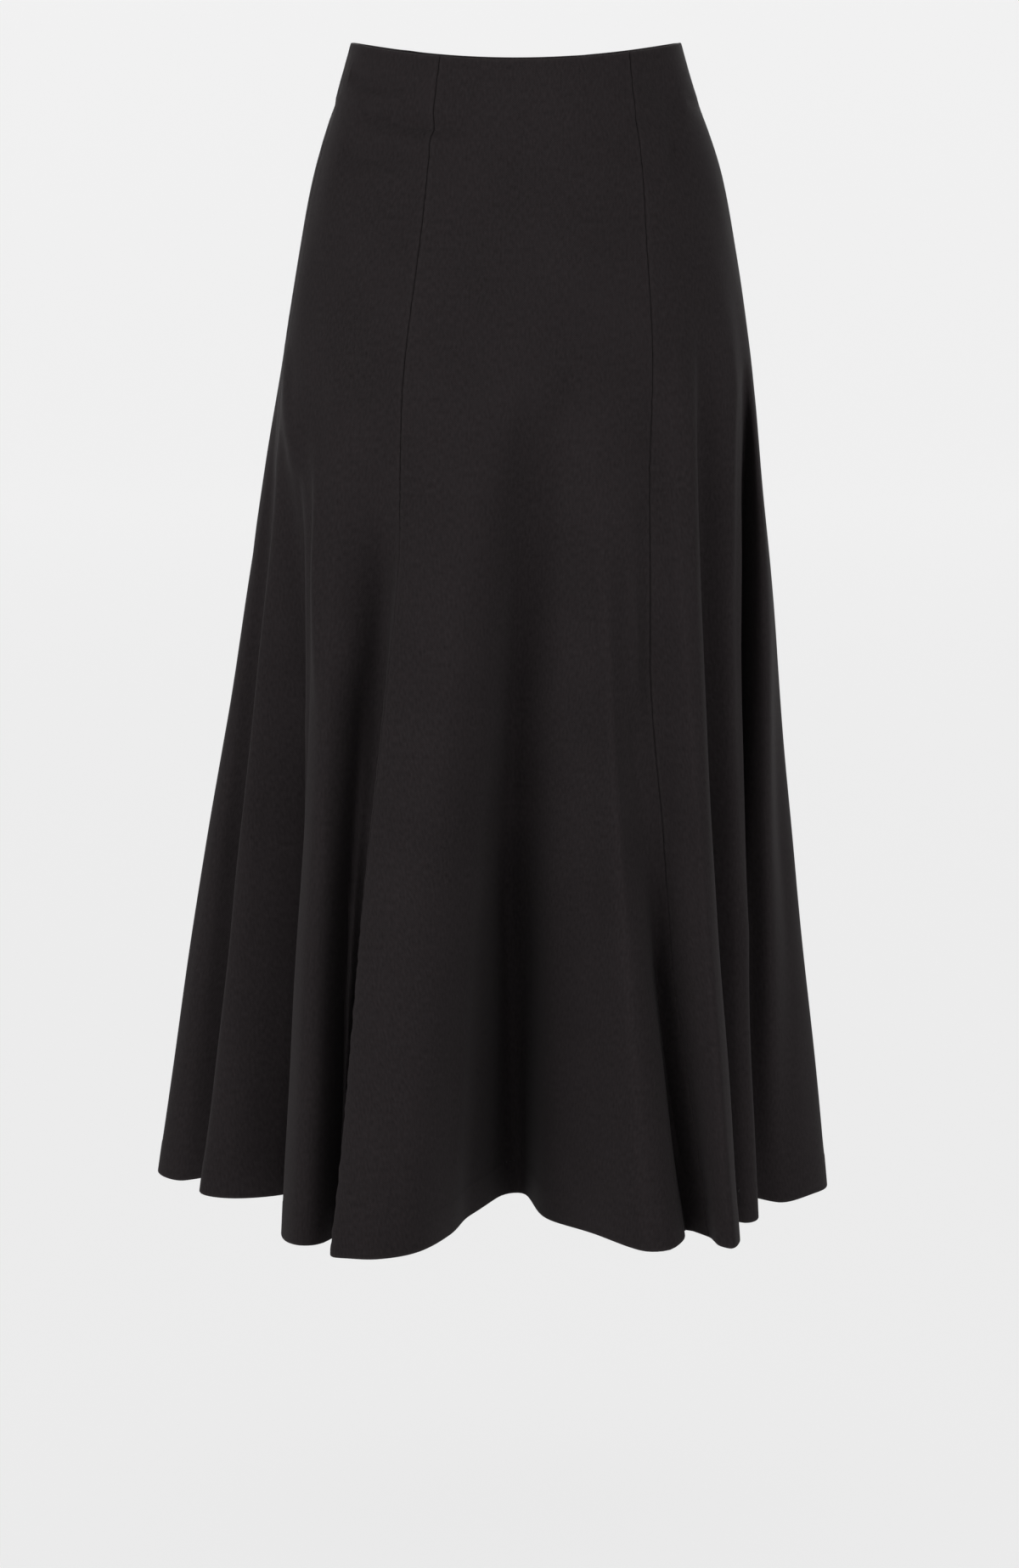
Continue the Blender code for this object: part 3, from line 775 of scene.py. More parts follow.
@dataclass
class NodeBench:
    """Adds and joins the nodes of one tree."""

    # The wave texture's own rate, in radians for each unit of place at a scale of 1
    WAVE_RATE = 20.0
    DIAGONAL_WAVE_RATE = 10.0

    tree: bpy.types.NodeTree

    @classmethod
    def for_material(cls, name: str) -> tuple[bpy.types.Material, "NodeBench", bpy.types.Node]:
        """Start a material, and give it with its bench and its shader node."""
        material = bpy.data.materials.new(name)
        material.use_nodes = True
        return material, cls(material.node_tree), material.node_tree.nodes["Principled BSDF"]

    def add(
        self, kind: str, given: dict[str | int, Value] | None = None, **settings: str
    ) -> bpy.types.Node:
        """Add a node.

        Args:
            kind: The node's type.
            given: The value or the source of each socket, by the socket's name or number.
            settings: The node's properties.

        Returns:
            The node.
        """
        node = self.tree.nodes.new(kind)
        for name, value in settings.items():
            setattr(node, name, value)
        self.fill(node, given or {})
        return node

    def fill(self, node: bpy.types.Node, given: dict[str | int, Value]) -> None:
        """Join sources to a node's sockets, or set the sockets' own values."""
        for name, value in given.items():
            if isinstance(value, Socket):
                self.tree.links.new(value, node.inputs[name])
            else:
                node.inputs[name].default_value = value

    def math(self, operation: str, first: Value, second: Value) -> Socket:
        """One operation on two numbers."""
        return self.add("ShaderNodeMath", {0: first, 1: second}, operation=operation).outputs[0]

    def blend(self, values: tuple[Value, ...], weights: tuple[float, ...]) -> Socket:
        """Some numbers added up, each times its weight."""
        total = self.math("MULTIPLY", values[0], weights[0])
        for value, weight in zip(values[1:], weights[1:]):
            total = self.math("ADD", total, self.math("MULTIPLY", value, weight))
        return total

    def mix(self, factor: Value, dark: Value, light: Value) -> Socket:
        """A colour between two colours."""
        return self.add("ShaderNodeMix", {"Factor": factor, 6: dark, 7: light}, data_type="RGBA").outputs[2]

    def spread(self, value: Value, low: float, high: float) -> Socket:
        """Bring a value from 0..1 into low..high."""
        given = {"Value": value, "To Min": low, "To Max": high}
        return self.add("ShaderNodeMapRange", given).outputs["Result"]

    def noise(
        self, vector: Value, scale: float, detail: float = 2.0, stretch: Place | None = None
    ) -> Socket:
        """Soft noise from 0 to 1, with the place's numbers multiplied by a stretch first."""
        if stretch:
            vector = self.add("ShaderNodeMapping", {"Vector": vector, "Scale": stretch}).outputs["Vector"]
        given = {"Vector": vector, "Scale": scale, "Detail": detail}
        return self.add("ShaderNodeTexNoise", given).outputs["Fac"]

    def bump(self, height: Value, distance: float) -> Socket:
        """The normal of a surface with some relief."""
        return self.add("ShaderNodeBump", {"Height": height, "Distance": distance}).outputs["Normal"]

    def bands(self, vector: Value, direction: str, pitch: float, distortion: float) -> Socket:
        """Even bands from 0 to 1.

        Args:
            vector: Place, in metres.
            direction: X, Y or DIAGONAL.
            pitch: Distance from one band to the next along an axis.
            distortion: How much the bands waver.

        Returns:
            The bands' socket.
        """
        rate = self.DIAGONAL_WAVE_RATE if direction == "DIAGONAL" else self.WAVE_RATE
        scale = 2 * math.pi / (rate * pitch)
        given = {"Vector": vector, "Scale": scale, "Distortion": distortion, "Detail": 1.0}
        node = self.add("ShaderNodeTexWave", given, wave_type="BANDS", bands_direction=direction)
        return node.outputs["Fac"]


@dataclass(frozen=True)
class ClothFinish:
    """Matte black suiting: a fine twill of slightly uneven threads, with a soft nap."""

    name: str = "black_twill"
    deep: Colour = (0.0060, 0.0050, 0.0052)
    pale: Colour = (0.0163, 0.0137, 0.0144)
    rubbed: Colour = (0.0200, 0.0172, 0.0178)
    thread_pitch: float = 0.00052
    thread_waver: float = 0.8
    twill_pitch: float = 0.0012
    twill_waver: float = 1.2
    warp_slub_scale: float = 1500.0
    warp_stretch: Place = (1.0, 0.06, 1.0)
    weft_slub_scale: float = 1300.0
    weft_stretch: Place = (0.08, 1.0, 1.0)
    slub_weights: tuple[float, float] = (0.55, 0.45)
    face_weights: tuple[float, float, float] = (0.30, 0.20, 0.50)
    fibre_scale: float = 5200.0
    handling_scale: float = 14.0
    uneven_weights: tuple[float, float] = (0.35, 0.65)
    melange_scale: float = 620.0
    melange_stretch: Place = (1.0, 0.4, 1.0)
    melange_spread: tuple[float, float] = (-1.1, 2.1)
    tone_weights: tuple[float, float, float] = (0.48, 0.32, 0.20)
    tone_spread: tuple[float, float] = (-0.35, 1.35)
    rub_spread: tuple[float, float] = (0.15, 0.65)
    relief: float = 0.00012
    fibre_relief: float = 0.5
    roughness: float = 0.86
    roughness_spread: float = 0.07
    specular_level: float = 0.03
    sheen_weight: float = 0.025
    sheen_roughness: float = 0.45
    sheen_tint: Colour = (0.95, 0.90, 0.91)

    def material(self) -> bpy.types.Material:
        """Build the cloth's material, which reads the flat cloth's UV map and the wear of its edges."""
        material, bench, shader = NodeBench.for_material(self.name)
        place = bench.add("ShaderNodeUVMap", uv_map=CLOTH_UV).outputs["UV"]
        twill = bench.bands(place, "DIAGONAL", self.twill_pitch, self.twill_waver)
        warp = bench.bands(place, "X", self.thread_pitch, self.thread_waver)
        weft = bench.bands(place, "Y", self.thread_pitch, self.thread_waver)
        warp_slub = bench.noise(place, self.warp_slub_scale, stretch=self.warp_stretch)
        weft_slub = bench.noise(place, self.weft_slub_scale, stretch=self.weft_stretch)
        fibre = bench.noise(place, self.fibre_scale, 3.0)
        handling = bench.noise(place, self.handling_scale, 3.0)
        melange = bench.noise(place, self.melange_scale, 3.0, self.melange_stretch)
        melange = bench.spread(melange, *self.melange_spread)
        slub = bench.blend((warp_slub, weft_slub), self.slub_weights)
        face = bench.blend((twill, bench.math("MULTIPLY", warp, weft), slub), self.face_weights)
        uneven = bench.blend((fibre, handling), self.uneven_weights)
        tone = bench.blend((face, uneven, melange), self.tone_weights)
        ground = bench.mix(bench.spread(tone, *self.tone_spread), solid(self.deep), solid(self.pale))
        wear = bench.add("ShaderNodeAttribute", attribute_name=WEAR).outputs["Fac"]
        rub = bench.math("MULTIPLY", wear, bench.spread(slub, *self.rub_spread))
        low, high = self.roughness - self.roughness_spread, self.roughness + self.roughness_spread
        height = bench.math("ADD", face, bench.math("MULTIPLY", fibre, self.fibre_relief))
        bench.fill(shader, {
            "Base Color": bench.mix(rub, ground, solid(self.rubbed)),
            "Roughness": bench.spread(uneven, low, high),
            "Normal": bench.bump(height, self.relief),
            "Specular IOR Level": self.specular_level,
            "Sheen Weight": self.sheen_weight,
            "Sheen Roughness": self.sheen_roughness,
            "Sheen Tint": solid(self.sheen_tint),
        })
        return material


@dataclass(frozen=True)
class ThreadFinish:
    """Black spun sewing thread, a little smoother than the cloth, with its twist."""

    name: str = "black_thread"
    deep: Colour = (0.010, 0.009, 0.009)
    pale: Colour = (0.030, 0.027, 0.028)
    twist_pitch: float = 0.0006
    twist_waver: float = 0.5
    fuzz_scale: float = 3000.0
    tone_weights: tuple[float, float] = (0.5, 0.5)
    relief: float = 0.00004
    roughness: float = 0.55
    roughness_spread: float = 0.1
    sheen_weight: float = 0.1

    def material(self) -> bpy.types.Material:
        """Build the thread's material on the piece's own coordinates."""
        material, bench, shader = NodeBench.for_material(self.name)
        place = bench.add("ShaderNodeTexCoord").outputs["Object"]
        twist = bench.bands(place, "DIAGONAL", self.twist_pitch, self.twist_waver)
        fuzz = bench.noise(place, self.fuzz_scale)
        tone = bench.blend((twist, fuzz), self.tone_weights)
        low, high = self.roughness - self.roughness_spread, self.roughness + self.roughness_spread
        bench.fill(shader, {
            "Base Color": bench.mix(tone, solid(self.deep), solid(self.pale)),
            "Roughness": bench.spread(fuzz, low, high),
            "Normal": bench.bump(tone, self.relief),
            "Sheen Weight": self.sheen_weight,
        })
        return material


@dataclass(frozen=True)
class StudioFinish:
    """Plain pale matte floor and backdrop, lit from behind, more strongly before the skirt's back."""

    name: str = "pale_backdrop"
    colour: Colour = (0.30, 0.30, 0.302)
    mottling: float = 0.985
    mottling_scale: float = 0.8
    roughness: float = 0.9
    specular_level: float = 0.1
    glow_colour: Colour = (1.0, 1.0, 1.0)
    glow: float = 0.74
    front_glow: float = 1.80
    front_start_y: float = -1.0
    front_full_y: float = -9.0

    def material(self) -> bpy.types.Material:
        """Build the backdrop's material, with the faintest mottling."""
        material, bench, shader = NodeBench.for_material(self.name)
        place = bench.add("ShaderNodeTexCoord").outputs["Object"]
        shade = tuple(self.mottling * part for part in self.colour)
        tone = bench.mix(bench.noise(place, self.mottling_scale), solid(self.colour), solid(shade))
        split = bench.add("ShaderNodeSeparateXYZ", {"Vector": place})
        glow = bench.add("ShaderNodeMapRange", {
            "Value": split.outputs["Y"],
            "From Min": self.front_full_y,
            "From Max": self.front_start_y,
            "To Min": self.front_glow,
            "To Max": self.glow,
        })
        bench.fill(shader, {
            "Base Color": tone,
            "Roughness": self.roughness,
            "Specular IOR Level": self.specular_level,
            "Emission Strength": glow.outputs["Result"],
            "Emission Color": solid(self.glow_colour),
        })
        return material


class StitchKind(Enum):
    """The two kinds of sewing that show inside the skirt."""

    OVERLOCK = "overlock"
    CATCH = "catch_stitch"


@dataclass(frozen=True)
class StitchSizes:
    """Sizes of one row of stitches."""

    pitch: float
    width: float
    thread: float
    depth: float
    unevenness: float = 0.08
    seed: int = 7


STITCHES = {
    StitchKind.OVERLOCK: StitchSizes(pitch=0.0040, width=0.0046, thread=0.00020, depth=0.0011, seed=7),
    StitchKind.CATCH: StitchSizes(pitch=0.0085, width=0.0034, thread=0.00017, depth=0.0013, seed=23),
}


@dataclass
class StitchPath:
    """One line of sewing: its points, the way out of the cloth and the way to the cut edge."""

    points: np.ndarray
    face: np.ndarray
    edge: np.ndarray


class StitchTree:
    """A Geometry Nodes tree that sews one kind of stitch along a path.

    The path's points carry two directions: face, away from the cloth, and edge, across the path
    towards the cloth's cut edge. A stitch is made of short runs of thread, whose ends are shares of
    the tree's sizes: along the path of the pitch, across it of the width, and away from the cloth of
    the depth.
    """

    FACE = "face"
    EDGE = "edge"
    THREAD_SIDES = 4
    RUN_STEPS = 3
    RUNS = {
        StitchKind.OVERLOCK: (
            ((-0.42, 0.0, 0.10), (0.0, 0.0, 0.26), (0.42, 0.0, 0.10)),
            ((-0.42, 0.0, 0.16), (0.0, 0.5, 0.45), (0.38, 1.0, 0.10)),
            ((0.38, 1.0, 0.12), (0.10, 1.16, -0.50), (-0.36, 1.0, -1.05)),
        ),
        StitchKind.CATCH: (
            ((-0.30, -0.45, 0.12), (-0.10, 0.0, 0.35), (0.10, 0.55, -0.85)),
            ((0.10, 0.55, -0.85), (0.28, 0.1, 0.35), (0.40, -0.45, 0.12)),
        ),
    }

    SOCKETS = (
        ("Path", "Geometry"),
        ("Pitch", "Float"),
        ("Width", "Float"),
        ("Thread", "Float"),
        ("Depth", "Float"),
        ("Unevenness", "Float"),
        ("Seed", "Int"),
        ("Material", "Material"),
    )

    def __init__(self, kind: StitchKind) -> None:
        """Build the tree."""
        self.kind = kind
        self.tree = bpy.data.node_groups.new(f"{kind.value}_row", "GeometryNodeTree")
        self.bench = NodeBench(self.tree)
        for name, holds in self.SOCKETS:
            self.tree.interface.new_socket(name, in_out="INPUT", socket_type=f"NodeSocket{holds}")
        self.tree.interface.new_socket("Stitches", in_out="OUTPUT", socket_type="NodeSocketGeometry")
        self.given = self.bench.add("NodeGroupInput").outputs
        self._sew(self._one_stitch())

    def _spot(self, shares: Place) -> Socket:
        """A point of a stitch from its shares of the pitch, width and depth."""
        sizes = [self.given[size] for size in ("Pitch", "Width", "Depth")]
        spot = {i: self.bench.math("MULTIPLY", sizes[i], shares[i]) for i in range(3)}
        return self.bench.add("ShaderNodeCombineXYZ", spot).outputs["Vector"]

    def _one_stitch(self) -> Socket:
        """The mesh of one stitch: a bent tube for each run of thread."""
        bench = self.bench
        given = {"Resolution": self.THREAD_SIDES, "Radius": self.given["Thread"]}
        profile = bench.add("GeometryNodeCurvePrimitiveCircle", given).outputs["Curve"]
        runs = bench.add("GeometryNodeJoinGeometry")
        for start, middle, end in self.RUNS[self.kind]:
            ends = {"Start": self._spot(start), "Middle": self._spot(middle), "End": self._spot(end)}
            run = bench.add("GeometryNodeCurveQuadraticBezier", {"Resolution": self.RUN_STEPS, **ends})
            given = {"Curve": run.outputs["Curve"], "Profile Curve": profile, "Fill Caps": True}
            bench.fill(runs, {"Geometry": bench.add("GeometryNodeCurveToMesh", given).outputs["Mesh"]})
        smooth = bench.add("GeometryNodeSetShadeSmooth", {"Geometry": runs.outputs["Geometry"]})
        return smooth.outputs["Geometry"]

    def _direction(self, name: str) -> Socket:
        """One of the directions that the path's points carry."""
        node = self.bench.add("GeometryNodeInputNamedAttribute", {"Name": name}, data_type="FLOAT_VECTOR")
        return node.outputs["Attribute"]

    def _sew(self, stitch: Socket) -> None:
        """Set the stitch along the path at its pitch, each a little uneven."""
        bench, given = self.bench, self.given
        curve = bench.add("GeometryNodeMeshToCurve", {"Mesh": given["Path"]}).outputs["Curve"]
        sockets = {"Curve": curve, "Length": given["Pitch"]}
        spots = bench.add("GeometryNodeResampleCurve", sockets, mode="LENGTH").outputs["Curve"]
        axes = {"Primary Axis": self._direction(self.FACE), "Secondary Axis": self._direction(self.EDGE)}
        turn = bench.add("FunctionNodeAxesToRotation", axes, primary_axis="Z", secondary_axis="Y")
        low = bench.math("SUBTRACT", 1.0, given["Unevenness"])
        high = bench.math("ADD", 1.0, given["Unevenness"])
        limits = {2: low, 3: high, "Seed": given["Seed"]}
        size = bench.add("FunctionNodeRandomValue", limits, data_type="FLOAT")
        scale = bench.add("ShaderNodeCombineXYZ", {"X": 1.0, "Y": size.outputs[1], "Z": 1.0})
        row = bench.add("GeometryNodeInstanceOnPoints", {
            "Points": spots,
            "Instance": stitch,
            "Rotation": turn.outputs["Rotation"],
            "Scale": scale.outputs["Vector"],
        })
        real = bench.add("GeometryNodeRealizeInstances", {"Geometry": row.outputs["Instances"]})
        finish = bench.add("GeometryNodeSetMaterial", {
            "Geometry": real.outputs["Geometry"],
            "Material": given["Material"],
        })
        bench.add("NodeGroupOutput", {"Stitches": finish.outputs["Geometry"]})

    def sew(self, name: str, paths: list[StitchPath], material: bpy.types.Material) -> bpy.types.Object:
        """Sew along some paths and keep the result as one plain mesh.

        Args:
            name: Name of the new piece.
            paths: The paths.
            material: The thread's material.

        Returns:
            The piece, with no modifier left on it.
        """
        piece = bpy.data.objects.new(name, self._path_mesh(name, paths))
        bpy.context.collection.objects.link(piece)
        modifier = piece.modifiers.new(self.kind.value, "NODES")
        modifier.node_group = self.tree
        sizes = asdict(STITCHES[self.kind])
        values = {key.capitalize(): size for key, size in sizes.items()}
        values["Material"] = material
        for item in self.tree.interface.items_tree:
            if item.in_out == "INPUT" and item.name in values:
                modifier[item.identifier] = values[item.name]
        made = piece.evaluated_get(bpy.context.evaluated_depsgraph_get())
        mesh = bpy.data.meshes.new_from_object(made)
        piece.modifiers.remove(modifier)
        piece.data = mesh
        mesh.name = name
        if not mesh.polygons:
            raise RuntimeError(f"{name}: the stitch tree made nothing")
        return piece

    def _path_mesh(self, name: str, paths: list[StitchPath]) -> bpy.types.Mesh:
        """One mesh of open lines that carry their directions."""
        points = np.concatenate([path.points for path in paths])
        edges = []
        first = 0
        for path in paths:
            edges += [(i, i + 1) for i in range(first, first + len(path.points) - 1)]
            first += len(path.points)
        mesh = bpy.data.meshes.new(f"{name}_path")
        mesh.from_pydata(points.tolist(), edges, [])
        for key, rows in ((self.FACE, [p.face for p in paths]), (self.EDGE, [p.edge for p in paths])):
            layer = mesh.attributes.new(key, "FLOAT_VECTOR", "POINT")
            layer.data.foreach_set("vector", np.concatenate(rows).ravel())
        return mesh


class Side(Enum):
    """The two side edges of a gore, with the sign of the way from the edge into the gore."""

    LEFT = 1
    RIGHT = -1


@dataclass
class Workroom:
    """What all gores share: the cloth's surface, the finishes and the stitch trees."""

    cloth: CreasedCloth
    cloth_material: bpy.types.Material
    thread_material: bpy.types.Material
    trees: dict[StitchKind, StitchTree]

    @classmethod
    def set_out(cls) -> "Workroom":
        """Make what the gores share."""
        cloth = CreasedCloth(SkirtForm(), RowPlan())
        trees = {kind: StitchTree(kind) for kind in StitchKind}
        return cls(cloth, ClothFinish().material(), ThreadFinish().material(), trees)


@dataclass
class Gore:
    """One gore: its panel, its two seam allowances and the sewing on its inside."""

    cut: GoreCut
    room: Workroom
    middle_columns: int = 88
    side_columns: tuple[float, ...] = (
        0.00002, 0.0002, 0.0005, 0.0008, 0.0012, 0.0020, 0.0038, 0.0064, 0.0095, 0.0118,
    )
    allowance_cloth: float = 0.0011
    allowance_gap: float = 0.00015
    allowance_columns: tuple[float, ...] = (0.00002, 0.0015, 0.0035, 0.0055, 0.0075, 0.0092, 0.0100)
    allowance_end: float = 0.0006
    allowance_curl: float = 0.0004
    curl_rate: float = 41.0
    curl_drift: float = 1.7
    curl_drift_rate: float = 17.0
    middle_start: float = 1.15
    edge_roll_share: float = 0.94
    edge_wear_width: float = 0.0016
    seam_wear: float = 0.25
    seam_wear_start: float = 1.6
    seam_wear_width: float = 0.0007
    needle_line: float = 0.0046
    path_margin: float = 0.0015
    path_points: int = 160
    flat_size: tuple[float, float, float] = field(init=False)

    def seam_turns(self, level: float) -> tuple[float, float]:
        """Turns of this gore's two seams at one level, the right one counted on from the left."""
        form = self.room.cloth.form
        left, right = form.seam_turn(self.cut.left, level), form.seam_turn(self.cut.right, level)
        return left, right + FULL_TURN * (right < left)

    def seam_arcs(self, row: int) -> tuple[float, float]:
        """Lengths round the skirt of this gore's two seams in one row."""
        cloth = self.room.cloth
        left, right = self.seam_turns(cloth.levels[row])
        return float(cloth.arc_at(row, left)), float(cloth.arc_at(row, right))

    def hem_shares(self) -> np.ndarray:
        """Shares of the way across the gore of its middle columns, close together at tight folds."""
        form = self.room.cloth.form
        left, right = self.seam_turns(1.0)
        lane_left, lane_right = form.lane_at(np.array([left, right]))
        if lane_right < lane_left:
            lane_right += form.lanes_round
        turns = form.turn_at(np.linspace(lane_left, lane_right, self.middle_columns + 2))
        return (turns[1:-1] - left) / (right - left)

    def column_turns(self, row: int, shares: np.ndarray) -> tuple[np.ndarray, np.ndarray]:
        """Turns of the panel's columns in one row.

        Args:
            row: Index of the row.
            shares: Shares of the way across of the middle columns.

        Returns:
            The turns, and each column's distance from the nearer seam.
        """
        cloth = self.room.cloth
        left, right = self.seam_arcs(row)
        width = right - left
        turns = cloth.turn_at(row, np.array([left, right]))
        middle = cloth.arc_at(row, turns[0] + (turns[1] - turns[0]) * shares) - left
        side = np.array(self.side_columns)
        reach = side[-1] * self.middle_start
        middle = reach + (width - 2 * reach) * middle / width
        across = np.concatenate([side, middle, width - side[::-1]])
        return cloth.turn_at(row, left + across), np.minimum(across, width - across)

    def panel_patch(self) -> tuple[Patch, np.ndarray]:
        """The panel's spots on the cloth, and their distances from the nearer seam."""
        cloth = self.room.cloth
        shares = self.hem_shares()
        rows = np.arange(len(cloth.levels))
        turns, distances = zip(*(self.column_turns(row, shares) for row in rows))
        return cloth.patch(rows, np.array(turns), np.array(distances)), np.array(distances)

    def panel(self) -> bpy.types.Object:
        """The gore's panel, one closed wall with rolled edges."""
        cloth = self.room.cloth
        patch, seam_distance = self.panel_patch()
        thickness = cloth.plan.thickness(patch.drops)[:, None]
        edge_distance = cloth.plan.edge_distance(patch.drops)[:, None]
        edge_roll = rolled(edge_distance, cloth.plan.turned_cloth / 2)
        edge_roll = self.edge_roll_share * np.where(edge_distance < thickness / 2, edge_roll, 0.0)
        seam_roll = rolled(seam_distance, cloth.seam_groove)
        outer = patch.inside(np.maximum(edge_roll, seam_roll))
        inner = patch.inside(thickness - edge_roll + np.zeros(seam_distance.shape))
        mesh = Grid.wall(f"panel_{self.cut.name}", outer, inner)
        middle = (patch.arcs[:, :1] + patch.arcs[:, -1:]) / 2
        from_groove = seam_distance - self.seam_wear_start * cloth.seam_groove
        seam_wear = self.seam_wear * bell(from_groove, self.seam_wear_width)
        wear = np.maximum(seam_wear, bell(edge_distance, self.edge_wear_width))
        Grid.lay_flat(mesh, patch.arcs - middle, patch.drops, wear)
        piece = Grid.place(mesh, self.room.cloth_material)
        self.flat_size = self.measure(patch)
        return piece

    def measure(self, patch: Patch) -> tuple[float, float, float]:
        """Flat cloth that shows as this gore: hem width, length of its longest line, and area."""
        widths = patch.arcs[:, -1] - patch.arcs[:, 0]
        lengths = np.linalg.norm(np.diff(patch.points, axis=0), axis=2).sum(axis=0)
        area = float(np.trapz(widths, patch.drops / CLOTH_LENGTH * lengths.mean()))
        return float(widths.max()), float(lengths.max()), area

    def allowance_patch(self, side: Side) -> tuple[Patch, np.ndarray]:
        """Spots of the seam allowance along one side edge, between the two turnings.

        Args:
            side: Which side edge.

        Returns:
            The patch, its columns running from left to right, and each column's distance from the seam.
        """
        cloth = self.room.cloth
        first = cloth.plan.waist_turning + self.allowance_end
        last = CLOTH_LENGTH - cloth.plan.hem_turning - self.allowance_end
        rows = np.flatnonzero((cloth.drops > first) & (cloth.drops < last))
        across = np.array(self.allowance_columns)
        if side is Side.RIGHT:
            across = across[::-1]
        turns = []
        for row in rows:
            seam = self.seam_arcs(row)[0 if side is Side.LEFT else 1]
            turns.append(cloth.turn_at(row, seam + side.value * across))
        distances = np.repeat(across[None, :], len(rows), 0)
        return cloth.patch(rows, np.array(turns), distances), distances

    def allowance_depths(self, patch: Patch, across: np.ndarray) -> np.ndarray:
        """Depth of an allowance's upper face under the panel's outer face, with its slight curl."""
        drops = patch.drops[:, None]
        drift = self.curl_drift * np.sin(self.curl_drift_rate * drops)
        wave = 0.5 + 0.5 * np.sin(self.curl_rate * drops + drift)
        curl = self.allowance_curl * wave * (across / self.allowance_columns[-1]) ** 2
        return self.room.cloth.plan.cloth + self.allowance_gap + curl

    def allowances(self) -> list[tuple[bpy.types.Object, StitchPath]]:
        """The two pressed-open seam allowances, each with the line for its overlock."""
        made = []
        for side in Side:
            patch, across = self.allowance_patch(side)
            upper = self.allowance_depths(patch, across)
            name = f"allowance_{side.name.lower()}_{self.cut.name}"
            mesh = Grid.wall(name, patch.inside(upper), patch.inside(upper + self.allowance_cloth))
            Grid.lay_flat(mesh, across, patch.drops, np.zeros(across.shape))
            piece = Grid.place(mesh, self.room.cloth_material)
            made.append((piece, self.allowance_path(side, patch, across, upper)))
        return made

    def allowance_path(
        self, side: Side, patch: Patch, across: np.ndarray, upper: np.ndarray
    ) -> StitchPath:
        """The needle line of the overlock along an allowance's cut edge."""
        under = patch.inside(upper + self.allowance_cloth)
        free = -1 if side is Side.LEFT else 0
        near = np.argmin(np.abs(across[0] - (self.allowance_columns[-1] - self.needle_line)))
        edge = unit(under[:, free] - under[:, near])
        return StitchPath(under[:, near], -patch.normals[:, near], edge)

    def turning_path(self, drop: float, away: float) -> StitchPath:
        """A line of sewing across the gore on the inside of a turning.

        Args:
            drop: Where the line runs.
            away: 1 where the cut edge lies further down, -1 where it lies further up.

        Returns:
            The path.
        """
        cloth = self.room.cloth
        row = int(np.argmin(np.abs(cloth.drops - drop)))
        left, right = self.seam_arcs(row)
        first, last = left + self.path_margin, right - self.path_margin
        arcs = np.linspace(first, last, self.path_points)[None, :]
        turns = cloth.turn_at(row, arcs)
        distances = np.minimum(arcs - left, right - arcs)
        patch = cloth.patch(np.array([row]), turns, distances)
        thickness = cloth.plan.thickness(patch.drops)[0]
        return StitchPath(patch.inside(thickness)[0], -patch.normals[0], patch.down[0] * away)

    def dress(self) -> list[bpy.types.Object]:
        """Build every piece of the gore, attach each to the root body and hide the gore's CAD solid.

        Returns:
            The pieces.
        """
        plan = self.room.cloth.plan
        panel = self.panel()
        allowances = self.allowances()
        overlock = STITCHES[StitchKind.OVERLOCK]
        hem_edge = CLOTH_LENGTH - plan.hem_turning
        overlock_paths = [path for _, path in allowances]
        overlock_paths.append(self.turning_path(plan.waist_turning - overlock.width, 1.0))
        overlock_paths.append(self.turning_path(hem_edge + overlock.width, -1.0))
        catch_paths = [self.turning_path(plan.waist_turning, 1.0), self.turning_path(hem_edge, -1.0)]
        trees = self.room.trees
        thread = self.room.thread_material
        sewing = [
            trees[StitchKind.OVERLOCK].sew(f"overlock_{self.cut.name}", overlock_paths, thread),
            trees[StitchKind.CATCH].sew(f"catch_stitches_{self.cut.name}", catch_paths, thread),
        ]
        extras = [piece for piece, _ in allowances] + sewing
        for piece in [panel] + extras:
            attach(piece, ROOT_BODY)
            LOG.info("%s: %d faces", piece.name, len(piece.data.polygons))
        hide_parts(self.cut.node)
        return [panel] + extras


@dataclass(frozen=True)
class SoftLight:
    """One flat studio light aimed into the skirt's upper half."""

    name: str
    place: Place
    width: float
    height: float
    power: float
    aim: Place = (0.0, 0.0, -0.25)
    spread: float = 120.0

    def hang(self, lit: bpy.types.Collection) -> None:
        """Put the light in the scene, to fall on the lit pieces only."""
        lamp = bpy.data.lights.new(self.name, "AREA")
        lamp.shape = "RECTANGLE"
        lamp.size = self.width
        lamp.size_y = self.height
        lamp.energy = self.power
        lamp.spread = math.radians(self.spread)
        holder = bpy.data.objects.new(self.name, lamp)
        holder.location = self.place
        towards = Vector(self.aim) - Vector(self.place)
        holder.rotation_euler = towards.to_track_quat("-Z", "Y").to_euler()
        holder.visible_camera = False
        holder.light_linking.receiver_collection = lit
        bpy.context.collection.objects.link(holder)


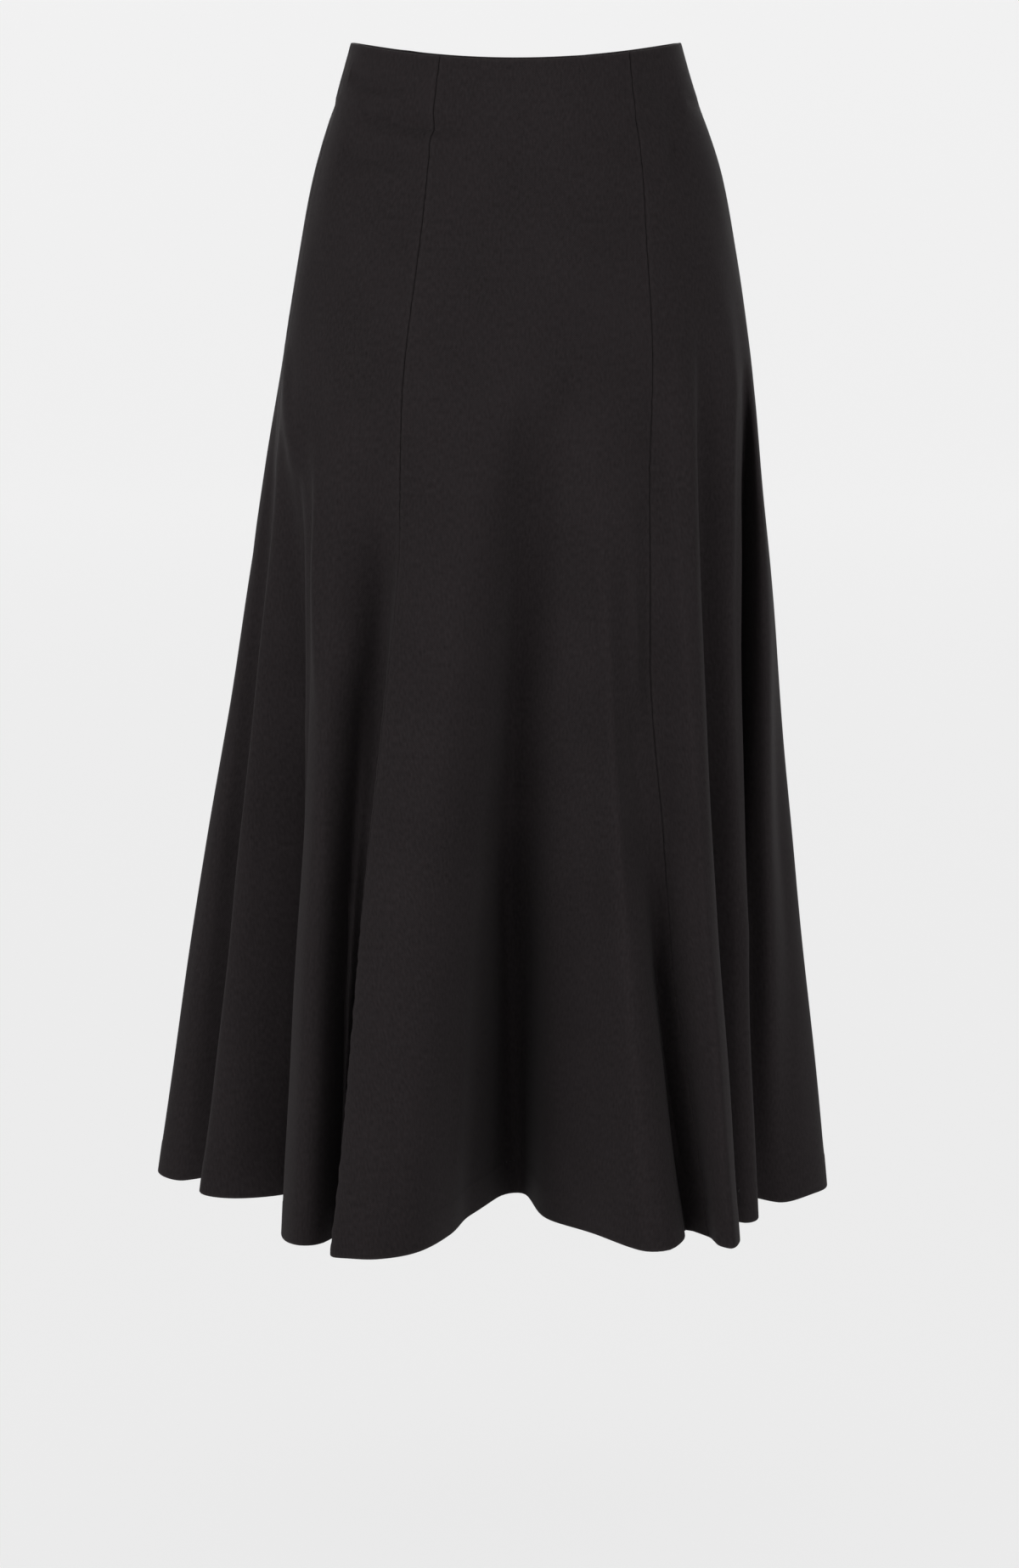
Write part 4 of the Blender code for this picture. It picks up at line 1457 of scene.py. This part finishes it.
@dataclass(frozen=True)
class Studio:
    """A pale floor that curves up into a backdrop all round, soft lights and the camera."""

    floor_z: float = -1.07
    first_radius: float = 0.4
    flat_radius: float = 8.0
    flat_rings: int = 12
    curve_radius: float = 3.5
    curve_rings: int = 12
    wall_top: float = 0.4
    steps_round: int = 96
    world_colour: Colour = (1.0, 1.0, 1.0)
    world_strength: float = 0.20
    camera_place: Place = (-0.0037, -4.2, 0.07)
    camera_tilt: float = 8.1
    camera_lens: float = 134.27
    camera_sensor: float = 36.0
    lights: tuple[SoftLight, ...] = (
        SoftLight("left_light", (-2.06, -2.45, 0.8), 2.4, 1.8, 18.0),
        SoftLight("left_side_light", (-2.59, -1.88, 0.8), 2.4, 1.8, 30.0),
        SoftLight("right_side_light", (2.59, -1.88, 0.8), 2.4, 1.8, 32.0),
        SoftLight("front_left_light", (-1.0, 3.0, 0.8), 2.0, 1.8, 22.0),
        SoftLight("front_right_light", (1.0, 3.0, 0.8), 2.0, 1.8, 22.0),
    )

    def backdrop(self) -> bpy.types.Object:
        """The floor and the backdrop in one sweep."""
        bend = np.radians(np.linspace(0.0, RIGHT_ANGLE, self.curve_rings + 1))[1:]
        flat = np.linspace(self.first_radius, self.flat_radius, self.flat_rings)
        radii = np.concatenate([flat, self.flat_radius + self.curve_radius * np.sin(bend)])
        heights = np.concatenate([0.0 * flat, self.curve_radius * (1 - np.cos(bend))])
        radii = np.append(radii, radii[-1])
        heights = np.append(heights, self.curve_radius + self.wall_top)
        count = self.steps_round
        angles = np.radians(np.arange(count) * FULL_TURN / count)
        points = [(0.0, 0.0, self.floor_z)]
        for radius, height in zip(radii, heights):
            points += [(radius * math.cos(a), radius * math.sin(a), self.floor_z + height) for a in angles]
        faces = [(0, 1 + i, 1 + (i + 1) % count) for i in range(count)]
        for ring in range(len(radii) - 1):
            first = 1 + ring * count
            for i in range(count):
                j = (i + 1) % count
                faces.append((first + i, first + count + i, first + count + j, first + j))
        mesh = bpy.data.meshes.new("studio_sweep")
        mesh.from_pydata(points, [], faces)
        mesh.shade_smooth()
        return Grid.place(mesh, StudioFinish().material())

    def light_world(self) -> None:
        """Fill the studio with faint, even light."""
        world = bpy.data.worlds.new("studio_air")
        world.use_nodes = True
        sky = {"Color": solid(self.world_colour), "Strength": self.world_strength}
        NodeBench(world.node_tree).fill(world.node_tree.nodes["Background"], sky)
        bpy.context.scene.world = world

    def place_camera(self) -> None:
        """Put the camera at the photograph's viewing angle."""
        camera = bpy.data.cameras.new("studio_camera")
        camera.lens = self.camera_lens
        camera.sensor_width = self.camera_sensor
        holder = bpy.data.objects.new("studio_camera", camera)
        holder.location = self.camera_place
        holder.rotation_euler = (math.radians(RIGHT_ANGLE - self.camera_tilt), 0.0, 0.0)
        bpy.context.collection.objects.link(holder)
        bpy.context.scene.camera = holder

    def build(self, pieces: list[bpy.types.Object]) -> None:
        """Build the whole studio, with its soft lights falling on the skirt's pieces only."""
        self.backdrop()
        self.light_world()
        lit = bpy.data.collections.new("lit_cloth")
        for piece in pieces:
            lit.objects.link(piece)
        for light in self.lights:
            light.hang(lit)
        self.place_camera()
        bpy.context.scene.view_settings.view_transform = "Standard"
        LOG.info("studio ready")


def main() -> None:
    """Load the frame, dress the six gores and set up the studio."""
    logging.basicConfig(level=logging.INFO, format="%(name)s: %(message)s")
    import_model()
    room = Workroom.set_out()
    pieces = []
    for cut in GORES:
        pieces += Gore(cut, room).dress()
    Studio().build(pieces)


if __name__ == "__main__":
    main()
